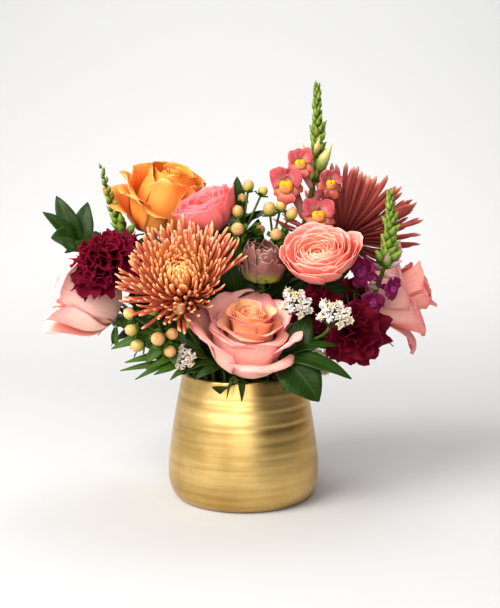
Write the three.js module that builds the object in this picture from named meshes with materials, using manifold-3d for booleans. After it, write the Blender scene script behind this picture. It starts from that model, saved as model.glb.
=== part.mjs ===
// A floral table centrepiece: a brushed gold pot of water that holds cut roses, ranunculus, spider
// chrysanthemums, carnations, snapdragons, berried hypericum, statice and leafy stems.
// Millimetres, +Z up. The origin is the centre of the pot's foot, and the front of the arrangement is -Y.
import * as THREE from "three";
import { mergeVertices } from "three/addons/utils/BufferGeometryUtils.js";
import Module from "manifold-3d";

const wasm = await Module();
wasm.setup();

// ---------------------------------------------------------------- driving dimensions
const POT_HEIGHT = 101;
const POT_MOUTH_RADIUS = 48.3;
const POT_BELLY_RADIUS = 60.5;
const POT_BELLY_HEIGHT = 23;
const POT_FOOT_RADIUS = 50;
const POT_WALL = 2;
const POT_FLOOR = 3;
const POT_SIDES = 32;
const WATER_SIDES = 20;
const WATER_LEVEL = 80;
const GAP = 0.3; // between pieces that touch
const STEM_END = 9; // height of the cut ends above the ground
const STEM_SPREAD = 0.9; // how far out the cut ends stand, as a share of their place in the mouth
const PETAL = 0.9; // thickness of a petal
const LEAF = 0.8; // thickness of a leaf
const LEAF_ARCH = 0.1; // how far a leaf bows, as a share of its length
const LEAF_FOLD = 0.16; // how far its sides rise from its rib, as a share of their width
const STEM_SIDES = 5;
const GOLDEN_ANGLE = 137.508;

// ---------------------------------------------------------------- finishes
const finish = (color, roughness, metalness = 0) =>
  new THREE.MeshStandardMaterial({ color, roughness, metalness });
const FINISH = {
  gold: finish("#c9a24a", 0.32, 1),
  water: finish("#cfe3e0", 0.1),
  stem: finish("#5d8a35", 0.55),
  leaf: finish("#2f5a1f", 0.45),
  peach: finish("#f0a892", 0.6),
  orange: finish("#f0943c", 0.6),
  coral: finish("#f27a72", 0.6),
  bronze: finish("#cf7440", 0.6),
  rust: finish("#a8483c", 0.6),
  burgundy: finish("#6e0a26", 0.6),
  mauve: finish("#8f7a52", 0.6),
  snapdragon: finish("#c8506a", 0.6),
  plum: finish("#7a1f5c", 0.6),
  bud: finish("#86b04a", 0.55),
  berry: finish("#d9b45a", 0.35),
  white: finish("#ece4da", 0.75),
};

// ---------------------------------------------------------------- numbers and lines
const rad = THREE.MathUtils.degToRad;
const lerp = THREE.MathUtils.lerp;
const vec = (x, y, z) => new THREE.Vector3(x, y, z);
const UP = vec(0, 0, 1);

// A repeatable draw from 0 to 1.
function draw(seed) {
  const s = Math.sin(seed * 12.9898 + 4.1) * 43758.5453;
  return s - Math.floor(s);
}

const around = (seed, spread) => (draw(seed) - 0.5) * 2 * spread;

// The matrix that carries a bloom's own frame, whose +Z is the way it faces, to its place in the group.
function frameAt(foot, toward, roll = 0) {
  const turn = new THREE.Quaternion().setFromUnitVectors(UP, vec(...toward).normalize());
  turn.multiply(new THREE.Quaternion().setFromAxisAngle(UP, rad(roll)));
  return new THREE.Matrix4().compose(vec(...foot), turn, vec(1, 1, 1));
}

// ---------------------------------------------------------------- plain solids
function indexed(points, faces) {
  const geometry = new THREE.BufferGeometry();
  const flat = new Float32Array(points.flatMap((p) => [p.x, p.y, p.z]));
  geometry.setAttribute("position", new THREE.BufferAttribute(flat, 3));
  geometry.setIndex(faces.flat());
  return geometry;
}

// A thin closed blade on surface(u, v): u runs from -1 to 1 across it, and v from 0 at its foot to
// 1 at its tip.
function blade(surface, [across, along], thickness) {
  const row = across + 1;
  const grid = [];
  for (let j = 0; j <= along; j++)
    for (let i = 0; i <= across; i++) grid.push(surface((2 * i) / across - 1, j / along));
  const at = (i, j) =>
    grid[Math.min(Math.max(j, 0), along) * row + Math.min(Math.max(i, 0), across)];
  const points = [];
  for (const side of [1, -1])
    for (let j = 0; j <= along; j++)
      for (let i = 0; i <= across; i++) {
        const du = at(i + 1, j).clone().sub(at(i - 1, j));
        const dv = at(i, j + 1).clone().sub(at(i, j - 1));
        const normal = du.cross(dv).normalize();
        points.push(at(i, j).clone().addScaledVector(normal, (side * thickness) / 2));
      }
  const under = row * (along + 1);
  const faces = [];
  for (let j = 0; j < along; j++)
    for (let i = 0; i < across; i++) {
      const [a, b] = [j * row + i, j * row + i + 1];
      const [c, d] = [b + row, a + row];
      faces.push([a, b, c], [a, c, d]);
      faces.push([under + a, under + c, under + b], [under + a, under + d, under + c]);
    }
  const rim = [];
  for (let i = 0; i < across; i++) rim.push(i);
  for (let j = 0; j < along; j++) rim.push(j * row + across);
  for (let i = across; i > 0; i--) rim.push(along * row + i);
  for (let j = along; j > 0; j--) rim.push(j * row);
  rim.forEach((a, k) => {
    const b = rim[(k + 1) % rim.length];
    faces.push([a, under + a, under + b], [a, under + b, b]);
  });
  return indexed(points, faces);
}

// A closed tube of a few sides through points, with a radius at each point.
function tube(points, radii, sides) {
  const ring = [];
  let across = null;
  points.forEach((p, k) => {
    const ahead = points[Math.min(k + 1, points.length - 1)];
    const behind = points[Math.max(k - 1, 0)];
    const along = ahead.clone().sub(behind).normalize();
    if (!across) across = vec(0.31, 0.95, 0.11);
    across = across.clone().addScaledVector(along, -across.dot(along)).normalize();
    const other = along.clone().cross(across);
    for (let s = 0; s < sides; s++) {
      const turn = (2 * Math.PI * s) / sides;
      const radius = typeof radii === "number" ? radii : radii[k];
      ring.push(
        p
          .clone()
          .addScaledVector(across, radius * Math.cos(turn))
          .addScaledVector(other, radius * Math.sin(turn)),
      );
    }
  });
  const faces = [];
  for (let k = 0; k < points.length - 1; k++)
    for (let s = 0; s < sides; s++) {
      const [a, b] = [k * sides + s, k * sides + ((s + 1) % sides)];
      faces.push([a, b, b + sides], [a, b + sides, a + sides]);
    }
  const last = (points.length - 1) * sides;
  for (let s = 1; s < sides - 1; s++) {
    faces.push([0, s + 1, s]);
    faces.push([last, last + s, last + s + 1]);
  }
  return indexed(ring, faces);
}

// A solid of revolution about +Z, from a profile of [radius, height] that starts and ends on the axis.
function turned(profile, sides) {
  const points = profile.map(([r, z]) => new THREE.Vector2(r, z));
  return new THREE.LatheGeometry(points, sides).rotateX(Math.PI / 2);
}

// A berry: an egg that stands on the origin.
const egg = (radius, height) =>
  turned([[0, 0], [radius, height * 0.28], [radius, height * 0.7], [0, height]], 4);

// A closed bud: a spindle that stands on the origin.
const spindle = (radius, height) => turned([[0, 0], [radius, height * 0.42], [0, height]], 3);

// The middle of a bloom, which its petals grow out of.
const heart = (radius, height) => turned([[0, 0], [radius * 1.15, 0], [0, height]], 5);

// ---------------------------------------------------------------- joining and cutting
function solidOf(geometry) {
  const bare = new THREE.BufferGeometry();
  const flat = geometry.index ? geometry.toNonIndexed() : geometry;
  bare.setAttribute("position", flat.getAttribute("position"));
  const merged = mergeVertices(bare, 1e-4);
  return new wasm.Manifold(
    new wasm.Mesh({
      numProp: 3,
      vertProperties: merged.attributes.position.array,
      triVerts: new Uint32Array(merged.index.array),
    }),
  );
}

function geometryOf(solid) {
  const mesh = solid.getMesh();
  const geometry = new THREE.BufferGeometry();
  geometry.setAttribute("position", new THREE.BufferAttribute(mesh.vertProperties, 3));
  geometry.setIndex(new THREE.BufferAttribute(mesh.triVerts, 1));
  return geometry;
}

// The largest closed body of a solid: loose scraps are dropped and sealed hollows filled.
const largest = (solid) =>
  solid.decompose().reduce((best, body) => (body.volume() > best.volume() ? body : best));

const fuse = (pieces) =>
  geometryOf(largest(pieces.map(solidOf).reduce((all, piece) => all.add(piece))));

// ---------------------------------------------------------------- petals
// The line that a petal follows out of its foot, as [distance from the bloom's axis, height, lean].
// leans are its angles from level at the foot, half way and at the tip: 90 stands up, 180 turns inwards.
function petalLine({ length, foot = 2, base = 1.2, leans }) {
  const steps = 16;
  const [first, middle, last] = leans;
  const leanAt = (t) => rad(t < 0.5 ? lerp(first, middle, t * 2) : lerp(middle, last, t * 2 - 1));
  const line = [[foot, base]];
  for (let k = 0; k < steps; k++) {
    const lean = leanAt((k + 0.5) / steps);
    const [r, z] = line[k];
    const step = length / steps;
    line.push([Math.max(r + step * Math.cos(lean), 0.4), z + step * Math.sin(lean)]);
  }
  return (t) => {
    const k = Math.min(Math.floor(Math.max(t, 0) * steps), steps - 1);
    const [r, z] = [0, 1].map((axis) => lerp(line[k][axis], line[k + 1][axis], t * steps - k));
    return [r, z, leanAt(t)];
  };
}

// A petal's surface. span is half its width in degrees about the axis. wrap tucks one edge behind its
// neighbour and wave ruffles the rim, both square to the petal.
function petalSurface(petal) {
  const { turn, span, wrap = 0, round = 0.12, wave = 0, waves = 2 } = petal;
  const line = petalLine(petal);
  return (u, v) => {
    const [r, z, lean] = line(v * (1 - round * Math.abs(u) ** 2.5));
    const behind = wrap * u * Math.min(1, v * 3) + wave * v * v * Math.sin(u * waves * Math.PI + turn);
    const out = Math.max(r + behind * Math.sin(lean), 0.3);
    const half = rad(span) * (0.42 + 0.58 * Math.sin((Math.PI / 2) * Math.min(1, v * 1.5)));
    const angle = rad(turn) + u * half;
    return vec(out * Math.cos(angle), out * Math.sin(angle), z - behind * Math.cos(lean));
  };
}

const petalBlade = (petal, cells) => blade(petalSurface(petal), cells, PETAL);

// Rings of petals from the heart outwards: each holds a count, its first turn and its petals' settings.
const petalRings = (rings) =>
  rings.flatMap(({ count, first = 0, cells = [2, 2], ...petal }, ring) =>
    Array.from({ length: count }, (_, k) => {
      const turn = first + (360 * k) / count + around(ring * 20 + k, 6);
      return petalBlade({ ...petal, turn }, cells);
    }),
  );

// ---------------------------------------------------------------- bloom heads, in their own frame
// A rose: a wound heart, two rings of upright petals, and open outer petals with settings of their own.
function roseHead({ radius, outer, depth = 1, cells = [2, 2] }) {
  const tall = radius * depth;
  const rings = [
    { count: 2, first: 20, length: tall * 0.68, leans: [62, 86, 98], span: 86, wrap: 1.6, cells: [3, 1] },
    { count: 3, first: 75, length: tall * 0.86, leans: [50, 80, 78], span: 64, wrap: 2, cells: [2, 1] },
  ];
  const open = outer.map((petal) => petalBlade({ wrap: 1.4, ...petal }, cells));
  return fuse([heart(radius * 0.16, tall * 0.52), ...petalRings(rings), ...open]);
}

// A ranunculus: cupped rings of thin petals round a small eye. close is how far the cup shuts.
function ranunculusHead({ radius, close = 0, counts = [2, 3, 5] }) {
  const rings = counts.map((count, ring) => {
    const out = (ring + 0.8) / (counts.length - 0.2);
    return {
      count,
      first: ring * 50,
      length: radius * lerp(0.78, 1.34, out),
      leans: [lerp(68, 4, out), lerp(92, 46 + close * 20, out), lerp(112, 88 + close * 24, out)],
      span: lerp(74, 360 / count / 1.75, out),
      wrap: 1.5,
      cells: ring === counts.length - 1 ? [2, 2] : [3 - ring, 1],
    };
  });
  return fuse([heart(radius * 0.2, radius * 0.42), ...petalRings(rings)]);
}

// A carnation: fans of petals with a waved edge.
function carnationHead({ radius, counts = [1, 3, 4] }) {
  const rings = counts.map((count, ring) => {
    const out = (ring + 0.6) / counts.length;
    const lean = lerp(76, 14, out);
    return {
      count,
      first: ring * 40,
      length: radius * lerp(0.9, 1.05, out),
      leans: [lean, lean, lean],
      span: lerp(70, 48, out),
      wave: radius * 0.12,
      waves: 1.5,
      round: 0.1,
      cells: [3, 1],
    };
  });
  return fuse([heart(radius * 0.3, radius * 0.5), ...petalRings(rings)]);
}

// A loose dark bloom of broad waved petals round a small heart.
function looseHead({ radius }) {
  const rings = [
    { count: 2, first: 40, length: radius * 0.8, leans: [70, 62, 50], span: 60, cells: [2, 1] },
    { count: 5, length: radius * 1.16, leans: [42, 22, -18], span: 36, wave: 2, round: 0.2 },
  ];
  return fuse([heart(radius * 0.2, radius * 0.4), ...petalRings(rings)]);
}

// A spider chrysanthemum: quills from a dome, short and curled in at the heart, long and level outside.
// A quill that would reach a neighbour is shortened until it is clear of the balls in keepOut.
function chrysanthemumHead({ radius, rays, inner, outer, quill, place, keepOut = [] }) {
  const dome = turned([[0, 0], [radius * 0.14, 0], [radius * 0.19, radius * 0.1], [0, radius * 0.24]], 8);
  const clear = (points) =>
    points.every((p) => {
      const world = p.clone().applyMatrix4(place);
      return keepOut.every(([x, y, z, reach]) => world.distanceTo(vec(x, y, z)) > reach);
    });
  const quills = [];
  for (let k = 0; k < rays; k++) {
    const out = (k + 0.5) / rays;
    const turn = rad(k * GOLDEN_ANGLE + around(k, 5));
    const leans = inner.map((lean, at) => lerp(lean, outer[at], out ** 0.75) + around(k + 70, 5));
    const foot = radius * 0.13 * out;
    const base = radius * lerp(0.18, 0.06, out);
    const full = radius * lerp(0.34, 0.98, out ** 0.8) * (1 + around(k + 300, 0.07));
    for (let share = 1; share > 0.4; share -= 0.12) {
      const line = petalLine({ length: full * share, foot, base, leans });
      const points = [0, 0.58, 1].map((t) => {
        const [r, z] = line(t);
        return vec(r * Math.cos(turn), r * Math.sin(turn), z);
      });
      if (!clear(points.slice(1))) continue;
      quills.push(tube(points, [quill * 0.7, quill, quill * 0.4], 3));
      break;
    }
  }
  return fuse([dome, ...quills]);
}

// ---------------------------------------------------------------- stems
// A stem's line: straight through the water to its place in the mouth, then a bend to where it ends.
function stemLine(mouth, end, toward) {
  const cut = vec(mouth[0] * STEM_SPREAD, mouth[1] * STEM_SPREAD, STEM_END);
  const lip = vec(mouth[0], mouth[1], POT_HEIGHT + 2);
  const tip = vec(...end);
  const rise = tip.distanceTo(lip);
  const leave = lip.clone().sub(cut).normalize().multiplyScalar(rise * 0.42);
  const arrive = vec(...toward).normalize().multiplyScalar(rise * 0.32);
  const bend = new THREE.CubicBezierCurve3(lip, lip.clone().add(leave), tip.clone().sub(arrive), tip);
  return [cut, ...bend.getPoints(3)];
}

// The holes that the stems need in the water, which the water is cut by at the end.
const stemHoles = [];

function drillWater(line, radius) {
  stemHoles.push(tube([line[0].clone().setZ(STEM_END - GAP), line[1]], radius + GAP, STEM_SIDES));
}

function stemTube(mouth, end, toward, radius) {
  const line = stemLine(mouth, end, toward);
  drillWater(line, radius);
  return tube(line, radius, STEM_SIDES);
}

// A bloom's stem, which swells into the hip just under the petals, and its sepals.
function bloomStem({ place, toward, mouth, radius, hip, sepals }) {
  const below = (depth) => vec(0, 0, -depth).applyMatrix4(place);
  const line = stemLine(mouth, below(hip * 2.4).toArray(), toward);
  drillWater(line, radius);
  const points = [...line, below(hip * 1.1), below(GAP)];
  const radii = points.map((_, k) => (k < line.length ? radius : hip * (k > line.length ? 0.75 : 1)));
  const pieces = [tube(points, radii, STEM_SIDES)];
  for (let k = 0; k < sepals; k++) {
    const sepal = petalSurface({
      turn: (360 * k) / sepals + 14,
      foot: hip * 0.5,
      base: -hip * 1.1,
      length: hip * 4.4,
      leans: [20, -30, -60],
      span: 24,
      round: 0.6,
    });
    pieces.push(blade(sepal, [2, 1], LEAF).applyMatrix4(place));
  }
  return fuse(pieces);
}

// ---------------------------------------------------------------- leaves
// A leaf from its foot to its tip, folded along its rib. face is the way its upper side looks.
function leafBlade(foot, tip, width, face, cells = [2, 3]) {
  const [from, to] = [vec(...foot), vec(...tip)];
  const along = to.clone().sub(from);
  const length = along.length();
  along.normalize();
  const up = vec(...face);
  up.addScaledVector(along, -up.dot(along)).normalize();
  const side = along.clone().cross(up);
  const surface = (u, v) => {
    const half = Math.max((width / 2) * Math.sin(Math.PI * v ** 0.8) ** 0.75, 0.6);
    const lift = LEAF_ARCH * length * Math.sin(Math.PI * v) + LEAF_FOLD * Math.abs(u) * half;
    return from
      .clone()
      .addScaledVector(along, v * length)
      .addScaledVector(side, -u * half)
      .addScaledVector(up, lift);
  };
  return blade(surface, cells, LEAF);
}

// ---------------------------------------------------------------- the pot and its water
// The pot's outer radius at a height above its belly.
const potRadius = (z) =>
  lerp(
    POT_BELLY_RADIUS,
    POT_MOUTH_RADIUS,
    ((z - POT_BELLY_HEIGHT) / (POT_HEIGHT - POT_BELLY_HEIGHT)) ** 1.35,
  );

// A line up the pot's side from its belly, set in from the outside, in a number of equal steps.
const potSide = (inset, top, steps) =>
  Array.from({ length: steps + 1 }, (_, k) => {
    const z = lerp(POT_BELLY_HEIGHT, top, k / steps);
    return [potRadius(z) - inset, z];
  });

function pot() {
  const outside = [
    [0, 0],
    [POT_FOOT_RADIUS, 0],
    [POT_FOOT_RADIUS + 4.2, 2.2],
    [POT_FOOT_RADIUS + 8.6, 9],
    ...potSide(0, POT_HEIGHT, 4),
  ];
  const inside = [[0, POT_FLOOR], [POT_FOOT_RADIUS + 2, POT_FLOOR], ...potSide(POT_WALL, POT_HEIGHT, 2)];
  return turned([...outside, ...inside.reverse()], POT_SIDES);
}

function water() {
  const inset = POT_WALL + 3 * GAP;
  const body = turned(
    [
      [0, POT_FLOOR + GAP],
      [POT_FOOT_RADIUS + 1, POT_FLOOR + GAP],
      ...potSide(inset, WATER_LEVEL, 2),
      [0, WATER_LEVEL],
    ],
    WATER_SIDES,
  );
  const drilled = stemHoles.map(solidOf).reduce((rest, hole) => rest.subtract(hole), solidOf(body));
  return geometryOf(largest(drilled));
}

// ---------------------------------------------------------------- the group
const centrepiece = new THREE.Group();

function addNode(name, geometry, material, place = new THREE.Matrix4()) {
  const mesh = new THREE.Mesh(geometry, material);
  mesh.name = name;
  place.decompose(mesh.position, mesh.quaternion, mesh.scale);
  centrepiece.add(mesh);
}

// A single bloom on its stem: the head is one node, and the stem with its hip and sepals is another.
function addBloom({ name, head, material, foot, toward, mouth, stem = 2.2, hip = 4, sepals = 0 }) {
  const place = frameAt(foot, toward);
  addNode(name, head(place), material, place);
  addNode(`${name}_stem`, bloomStem({ place, toward, mouth, radius: stem, hip, sepals }), FINISH.stem);
}

// ---------------------------------------------------------------- roses
addBloom({
  name: "front_rose",
  material: FINISH.peach,
  foot: [1, -39, 108],
  toward: [0.09, -0.36, 0.93],
  mouth: [0, -28],
  stem: 3,
  head: () =>
    roseHead({
      radius: 42,
      depth: 1.2,
      cells: [3, 2],
      outer: [
        { turn: -148, length: 56, leans: [26, 74, 44], span: 50 },
        { turn: -80, length: 46, leans: [34, 78, 36], span: 50 },
        { turn: -10, length: 54, leans: [24, 72, 40], span: 50 },
        { turn: 60, length: 53, leans: [30, 84, 56], span: 50 },
        { turn: 130, length: 54, leans: [30, 82, 50], span: 50 },
      ],
    }),
});

// The roses that lie out over the sides are cups, seen from beside or behind.
const cupRose = ({ radius, depth, turns, leans, reach }) =>
  roseHead({
    radius,
    depth,
    outer: turns.map((turn, k) => ({
      turn,
      length: radius * reach,
      leans: leans[k % leans.length],
      span: 46,
    })),
  });

addBloom({
  name: "left_rose",
  material: FINISH.peach,
  foot: [-101, 0, 142],
  toward: [-0.78, -0.16, 0.6],
  mouth: [-38, -6],
  stem: 3,
  sepals: 3,
  head: () =>
    cupRose({
      radius: 36,
      depth: 1.35,
      turns: [-90, 178, 90, 0, 40],
      leans: [[6, 76, 66], [10, 72, 36], [12, 76, 74]],
      reach: 1.6,
    }),
});

addBloom({
  name: "right_rose",
  material: FINISH.peach,
  foot: [103, 22, 150],
  toward: [0.92, -0.08, 0.2],
  mouth: [38, 4],
  stem: 3,
  head: () =>
    cupRose({
      radius: 34,
      depth: 1.2,
      turns: [-60, 20, 110, 190, 260],
      leans: [[6, 70, 50], [6, 68, 24], [6, 74, 60]],
      reach: 1.62,
    }),
});

addBloom({
  name: "orange_rose",
  material: FINISH.orange,
  foot: [-74, 42, 206],
  toward: [0.1, -0.12, 0.98],
  mouth: [-17, 10],
  stem: 3,
  head: () =>
    cupRose({
      radius: 36,
      depth: 1.8,
      turns: [-150, -85, -20, 50, 125],
      leans: [[6, 70, 56], [8, 78, 76], [6, 74, 70]],
      reach: 1.66,
    }),
});

addBloom({
  name: "back_rose",
  material: FINISH.peach,
  foot: [-14, 58, 150],
  toward: [-0.12, 0.78, 0.6],
  mouth: [-6, 36],
  stem: 3,
  head: () =>
    cupRose({
      radius: 40,
      depth: 1,
      turns: [-80, 0, 70, 140, 215],
      leans: [[14, 58, 14], [20, 64, 42]],
      reach: 1.16,
    }),
});

// ---------------------------------------------------------------- ranunculus
addBloom({
  name: "upper_ranunculus",
  material: FINISH.coral,
  foot: [-25, -4, 213],
  toward: [-0.3, -0.12, 0.94],
  mouth: [-10, -3],
  stem: 2,
  hip: 3,
  head: () => ranunculusHead({ radius: 30, close: 0.8 }),
});

addBloom({
  name: "right_ranunculus",
  material: FINISH.coral,
  foot: [60, -33, 181],
  toward: [-0.14, -0.76, 0.63],
  mouth: [19, -15],
  stem: 2,
  hip: 3,
  head: () => ranunculusHead({ radius: 31 }),
});

addBloom({
  name: "back_ranunculus",
  material: FINISH.coral,
  foot: [44, 60, 142],
  toward: [0.42, 0.8, 0.4],
  mouth: [17, 34],
  stem: 2,
  hip: 3,
  head: () => ranunculusHead({ radius: 27, close: 0.3 }),
});

addBloom({
  name: "mauve_ranunculus_bud",
  material: FINISH.mauve,
  foot: [14, -31, 175],
  toward: [0.05, -0.16, 0.98],
  mouth: [5, -19],
  stem: 1.8,
  hip: 3,
  head: () => ranunculusHead({ radius: 26, close: 1.6, counts: [2, 4] }),
});

// ---------------------------------------------------------------- chrysanthemums
addBloom({
  name: "bronze_chrysanthemum",
  material: FINISH.bronze,
  foot: [-48, -45, 176],
  toward: [-0.12, -0.72, 0.68],
  mouth: [-9, -25],
  stem: 2.4,
  hip: 5,
  head: (place) =>
    chrysanthemumHead({
      radius: 47,
      rays: 32,
      inner: [84, 108, 158],
      outer: [14, 26, 34],
      quill: 2,
      place,
      keepOut: [
        [2, -50, 150, 38],
        [-28, -6, 232, 31],
        [-106, -42, 200, 25],
      ],
    }),
});

addBloom({
  name: "rust_chrysanthemum",
  material: FINISH.rust,
  foot: [80, 32, 202],
  toward: [0.3, 0.72, 0.6],
  mouth: [17, 12],
  stem: 2.4,
  hip: 5,
  head: (place) =>
    chrysanthemumHead({
      radius: 62,
      rays: 28,
      inner: [80, 95, 140],
      outer: [10, 16, 24],
      quill: 2.1,
      place,
      keepOut: [
        [62, -50, 200, 40],
        [60, 72, 152, 36],
        [130, 22, 160, 42],
        [50, 2, 222, 17],
        [54, 3, 250, 17],
      ],
    }),
});

// ---------------------------------------------------------------- carnations and loose dark blooms
addBloom({
  name: "left_carnation",
  material: FINISH.burgundy,
  foot: [-100, -33, 187],
  toward: [-0.45, -0.64, 0.62],
  mouth: [-29, -19],
  stem: 1.8,
  hip: 4.5,
  head: () => carnationHead({ radius: 27 }),
});

addBloom({
  name: "back_carnation",
  material: FINISH.burgundy,
  foot: [-70, 52, 166],
  toward: [-0.55, 0.75, 0.35],
  mouth: [-26, 27],
  stem: 1.8,
  hip: 4.5,
  head: () => carnationHead({ radius: 26 }),
});

const LOOSE_BLOOMS = [
  { name: "low", foot: [81, -37, 138], toward: [0.35, -0.92, 0.1], mouth: [33, -21], radius: 24 },
  { name: "inner", foot: [55, -30, 150], toward: [0.05, -0.85, 0.5], mouth: [26, -29], radius: 19 },
  { name: "back", foot: [86, 52, 140], toward: [0.75, 0.62, 0.3], mouth: [31, 24], radius: 24 },
];
for (const { name, radius, ...at } of LOOSE_BLOOMS)
  addBloom({
    ...at,
    name: `burgundy_bloom_${name}`,
    material: FINISH.burgundy,
    stem: 1.7,
    hip: 3,
    head: () => looseHead({ radius }),
  });

// ---------------------------------------------------------------- snapdragons
// Buds set round the upper part of a spike, larger lower down.
function spikeBuds(curve, { from, count, size, lean = 42 }) {
  return Array.from({ length: count }, (_, k) => {
    const t = lerp(from, 0.97, k / (count - 1));
    const share = lerp(1, 0.4, k / (count - 1));
    const turn = rad(k * GOLDEN_ANGLE);
    const toward = vec(Math.cos(turn), Math.sin(turn), 0).multiplyScalar(Math.sin(rad(lean)));
    toward.addScaledVector(curve.getTangent(t), Math.cos(rad(lean)));
    const place = frameAt(curve.getPoint(t).toArray(), toward.toArray());
    return spindle(size * 0.44 * share, size * 1.3 * share).applyMatrix4(place);
  });
}

// An open snapdragon flower, with its tube along +Z, its two upper lobes at +Y and its lower lip at -Y.
function snapdragonFlower(size) {
  const throat = turned([[0, 0], [size * 0.05, 0], [size * 0.27, size * 0.5], [0, size * 0.74]], 5);
  const upper = { length: size * 0.62, leans: [75, 30, 0], span: 36, round: 0.3 };
  const lower = { length: size * 0.56, leans: [60, -20, -80], span: 62, round: 0.3, wave: 0.8 };
  const lobes = [
    petalBlade({ ...upper, turn: 52, foot: size * 0.14, base: size * 0.44 }, [2, 1]),
    petalBlade({ ...upper, turn: 128, foot: size * 0.14, base: size * 0.44 }, [2, 1]),
    petalBlade({ ...lower, turn: -90, foot: size * 0.14, base: size * 0.4 }, [2, 2]),
  ];
  return fuse([throat, ...lobes]);
}

// A spike of buds on its stem, and its open flowers, each a node of its own a gap away from the stem.
function addSnapdragon({ name, mouth, points, stem, buds, flowers, material }) {
  const [first, second] = points.map((p) => vec(...p));
  const lower = stemLine(mouth, points[0], second.clone().sub(first).toArray());
  drillWater(lower, stem);
  const curve = new THREE.CatmullRomCurve3(points.map((p) => vec(...p)));
  const upper = curve.getPoints(4).slice(1);
  const taper = (k) => (k < lower.length ? 1 : lerp(1, 0.35, (k - lower.length + 1) / upper.length));
  const line = [...lower, ...upper];
  const radii = line.map((_, k) => stem * taper(k));
  addNode(name, fuse([tube(line, radii, STEM_SIDES), ...spikeBuds(curve, buds)]), FINISH.bud);
  flowers.forEach(({ t, toward, size }, k) => {
    const out = vec(...toward).normalize();
    const foot = curve.getPoint(t).addScaledVector(out, stem * (1 - 0.6 * t) + 2 * GAP);
    const place = frameAt(foot.toArray(), toward);
    addNode(`${name}_flower_${k + 1}`, snapdragonFlower(size), material, place);
  });
}

addSnapdragon({
  name: "pink_snapdragon",
  material: FINISH.snapdragon,
  mouth: [15, -1],
  stem: 2.3,
  points: [[47, 0, 212], [54, 3, 245], [58, 6, 285], [57, 9, 326]],
  buds: { from: 0.45, count: 12, size: 17 },
  flowers: [
    { t: 0.24, toward: [-0.8, -0.6, 0.25], size: 24 },
    { t: 0.4, toward: [-0.75, -0.5, 0.45], size: 19 },
    { t: 0.3, toward: [0.72, -0.6, 0.3], size: 20 },
    { t: 0.03, toward: [0.75, -0.65, 0.15], size: 20 },
  ],
});

addSnapdragon({
  name: "plum_snapdragon",
  material: FINISH.plum,
  mouth: [30, -10],
  stem: 2,
  points: [[100, -24, 163], [108, -26, 188], [112, -26, 215], [111, -24, 243]],
  buds: { from: 0.3, count: 12, size: 17 },
  flowers: [
    { t: 0.2, toward: [-0.75, -0.6, 0.4], size: 16 },
    { t: 0.16, toward: [0.65, -0.75, 0.1], size: 16 },
    { t: 0.04, toward: [-0.1, -0.98, -0.1], size: 16 },
  ],
});

addSnapdragon({
  name: "left_snapdragon",
  material: FINISH.plum,
  mouth: [-24, 6],
  stem: 1.6,
  points: [[-92, 14, 205], [-103, 14, 226], [-112, 12, 262]],
  buds: { from: 0.12, count: 10, size: 13 },
  flowers: [],
});

// ---------------------------------------------------------------- hypericum
// Berries on short stalks that leave one stem, and small leaves.
function addHypericum({ name, mouth, fork, toward, stem, berries, leaves }) {
  const pieces = [stemTube(mouth, fork, toward, stem)];
  const root = vec(...fork).addScaledVector(vec(...toward).normalize(), -stem * 1.5);
  for (const [x, y, z, radius] of berries) {
    const berry = vec(x, y, z);
    const facing = berry.clone().sub(root).normalize();
    const under = berry.clone().addScaledVector(facing, -radius);
    const sunk = under.clone().addScaledVector(facing, radius * 0.5);
    pieces.push(tube([root, sunk], stem * 0.55, 3));
    pieces.push(egg(radius, radius * 2.15).applyMatrix4(frameAt(under.toArray(), facing.toArray())));
  }
  leaves.forEach(({ foot, tip, width, face }) => pieces.push(leafBlade(foot, tip, width, face, [2, 2])));
  addNode(name, fuse(pieces), FINISH.berry);
}

addHypericum({
  name: "hypericum_centre",
  mouth: [-1, -9],
  fork: [0, -14, 212],
  toward: [0, -0.1, 1],
  stem: 1.5,
  berries: [
    [4, -12, 247, 4.6],
    [-1, -6, 237, 3.8],
    [-4, -20, 228, 4.6],
    [-4, -36, 216, 5.2],
    [15, -8, 243, 4],
  ],
  leaves: [
    { foot: [0, -14, 208], tip: [14, -26, 220], width: 8, face: [0, -0.4, 1] },
  ],
});

addHypericum({
  name: "hypericum_right",
  mouth: [9, -8],
  fork: [24, -10, 205],
  toward: [0.15, -0.1, 1],
  stem: 1.5,
  berries: [
    [20, -20, 230, 5.2],
    [29, -12, 232, 4.6],
    [37, -17, 226, 4.6],
    [25, -26, 211, 4.8],
  ],
  leaves: [
    { foot: [24, -10, 203], tip: [34, -22, 215], width: 8, face: [0, -0.4, 1] },
  ],
});

addHypericum({
  name: "hypericum_low",
  mouth: [-23, -30],
  fork: [-60, -50, 136],
  toward: [-0.6, -0.3, 0.6],
  stem: 1.6,
  berries: [
    [-84, -52, 154, 4.6],
    [-82, -60, 143, 4.6],
    [-78, -56, 131, 5],
    [-62, -68, 138, 5.4],
    [-54, -62, 128, 4.8],
    [-66, -58, 158, 4.6],
  ],
  leaves: [
    { foot: [-58, -49, 134], tip: [-72, -58, 118], width: 10, face: [0, -1, 0.5] },
    { foot: [-56, -48, 132], tip: [-50, -64, 118], width: 10, face: [0, -1, 0.5] },
  ],
});

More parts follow.
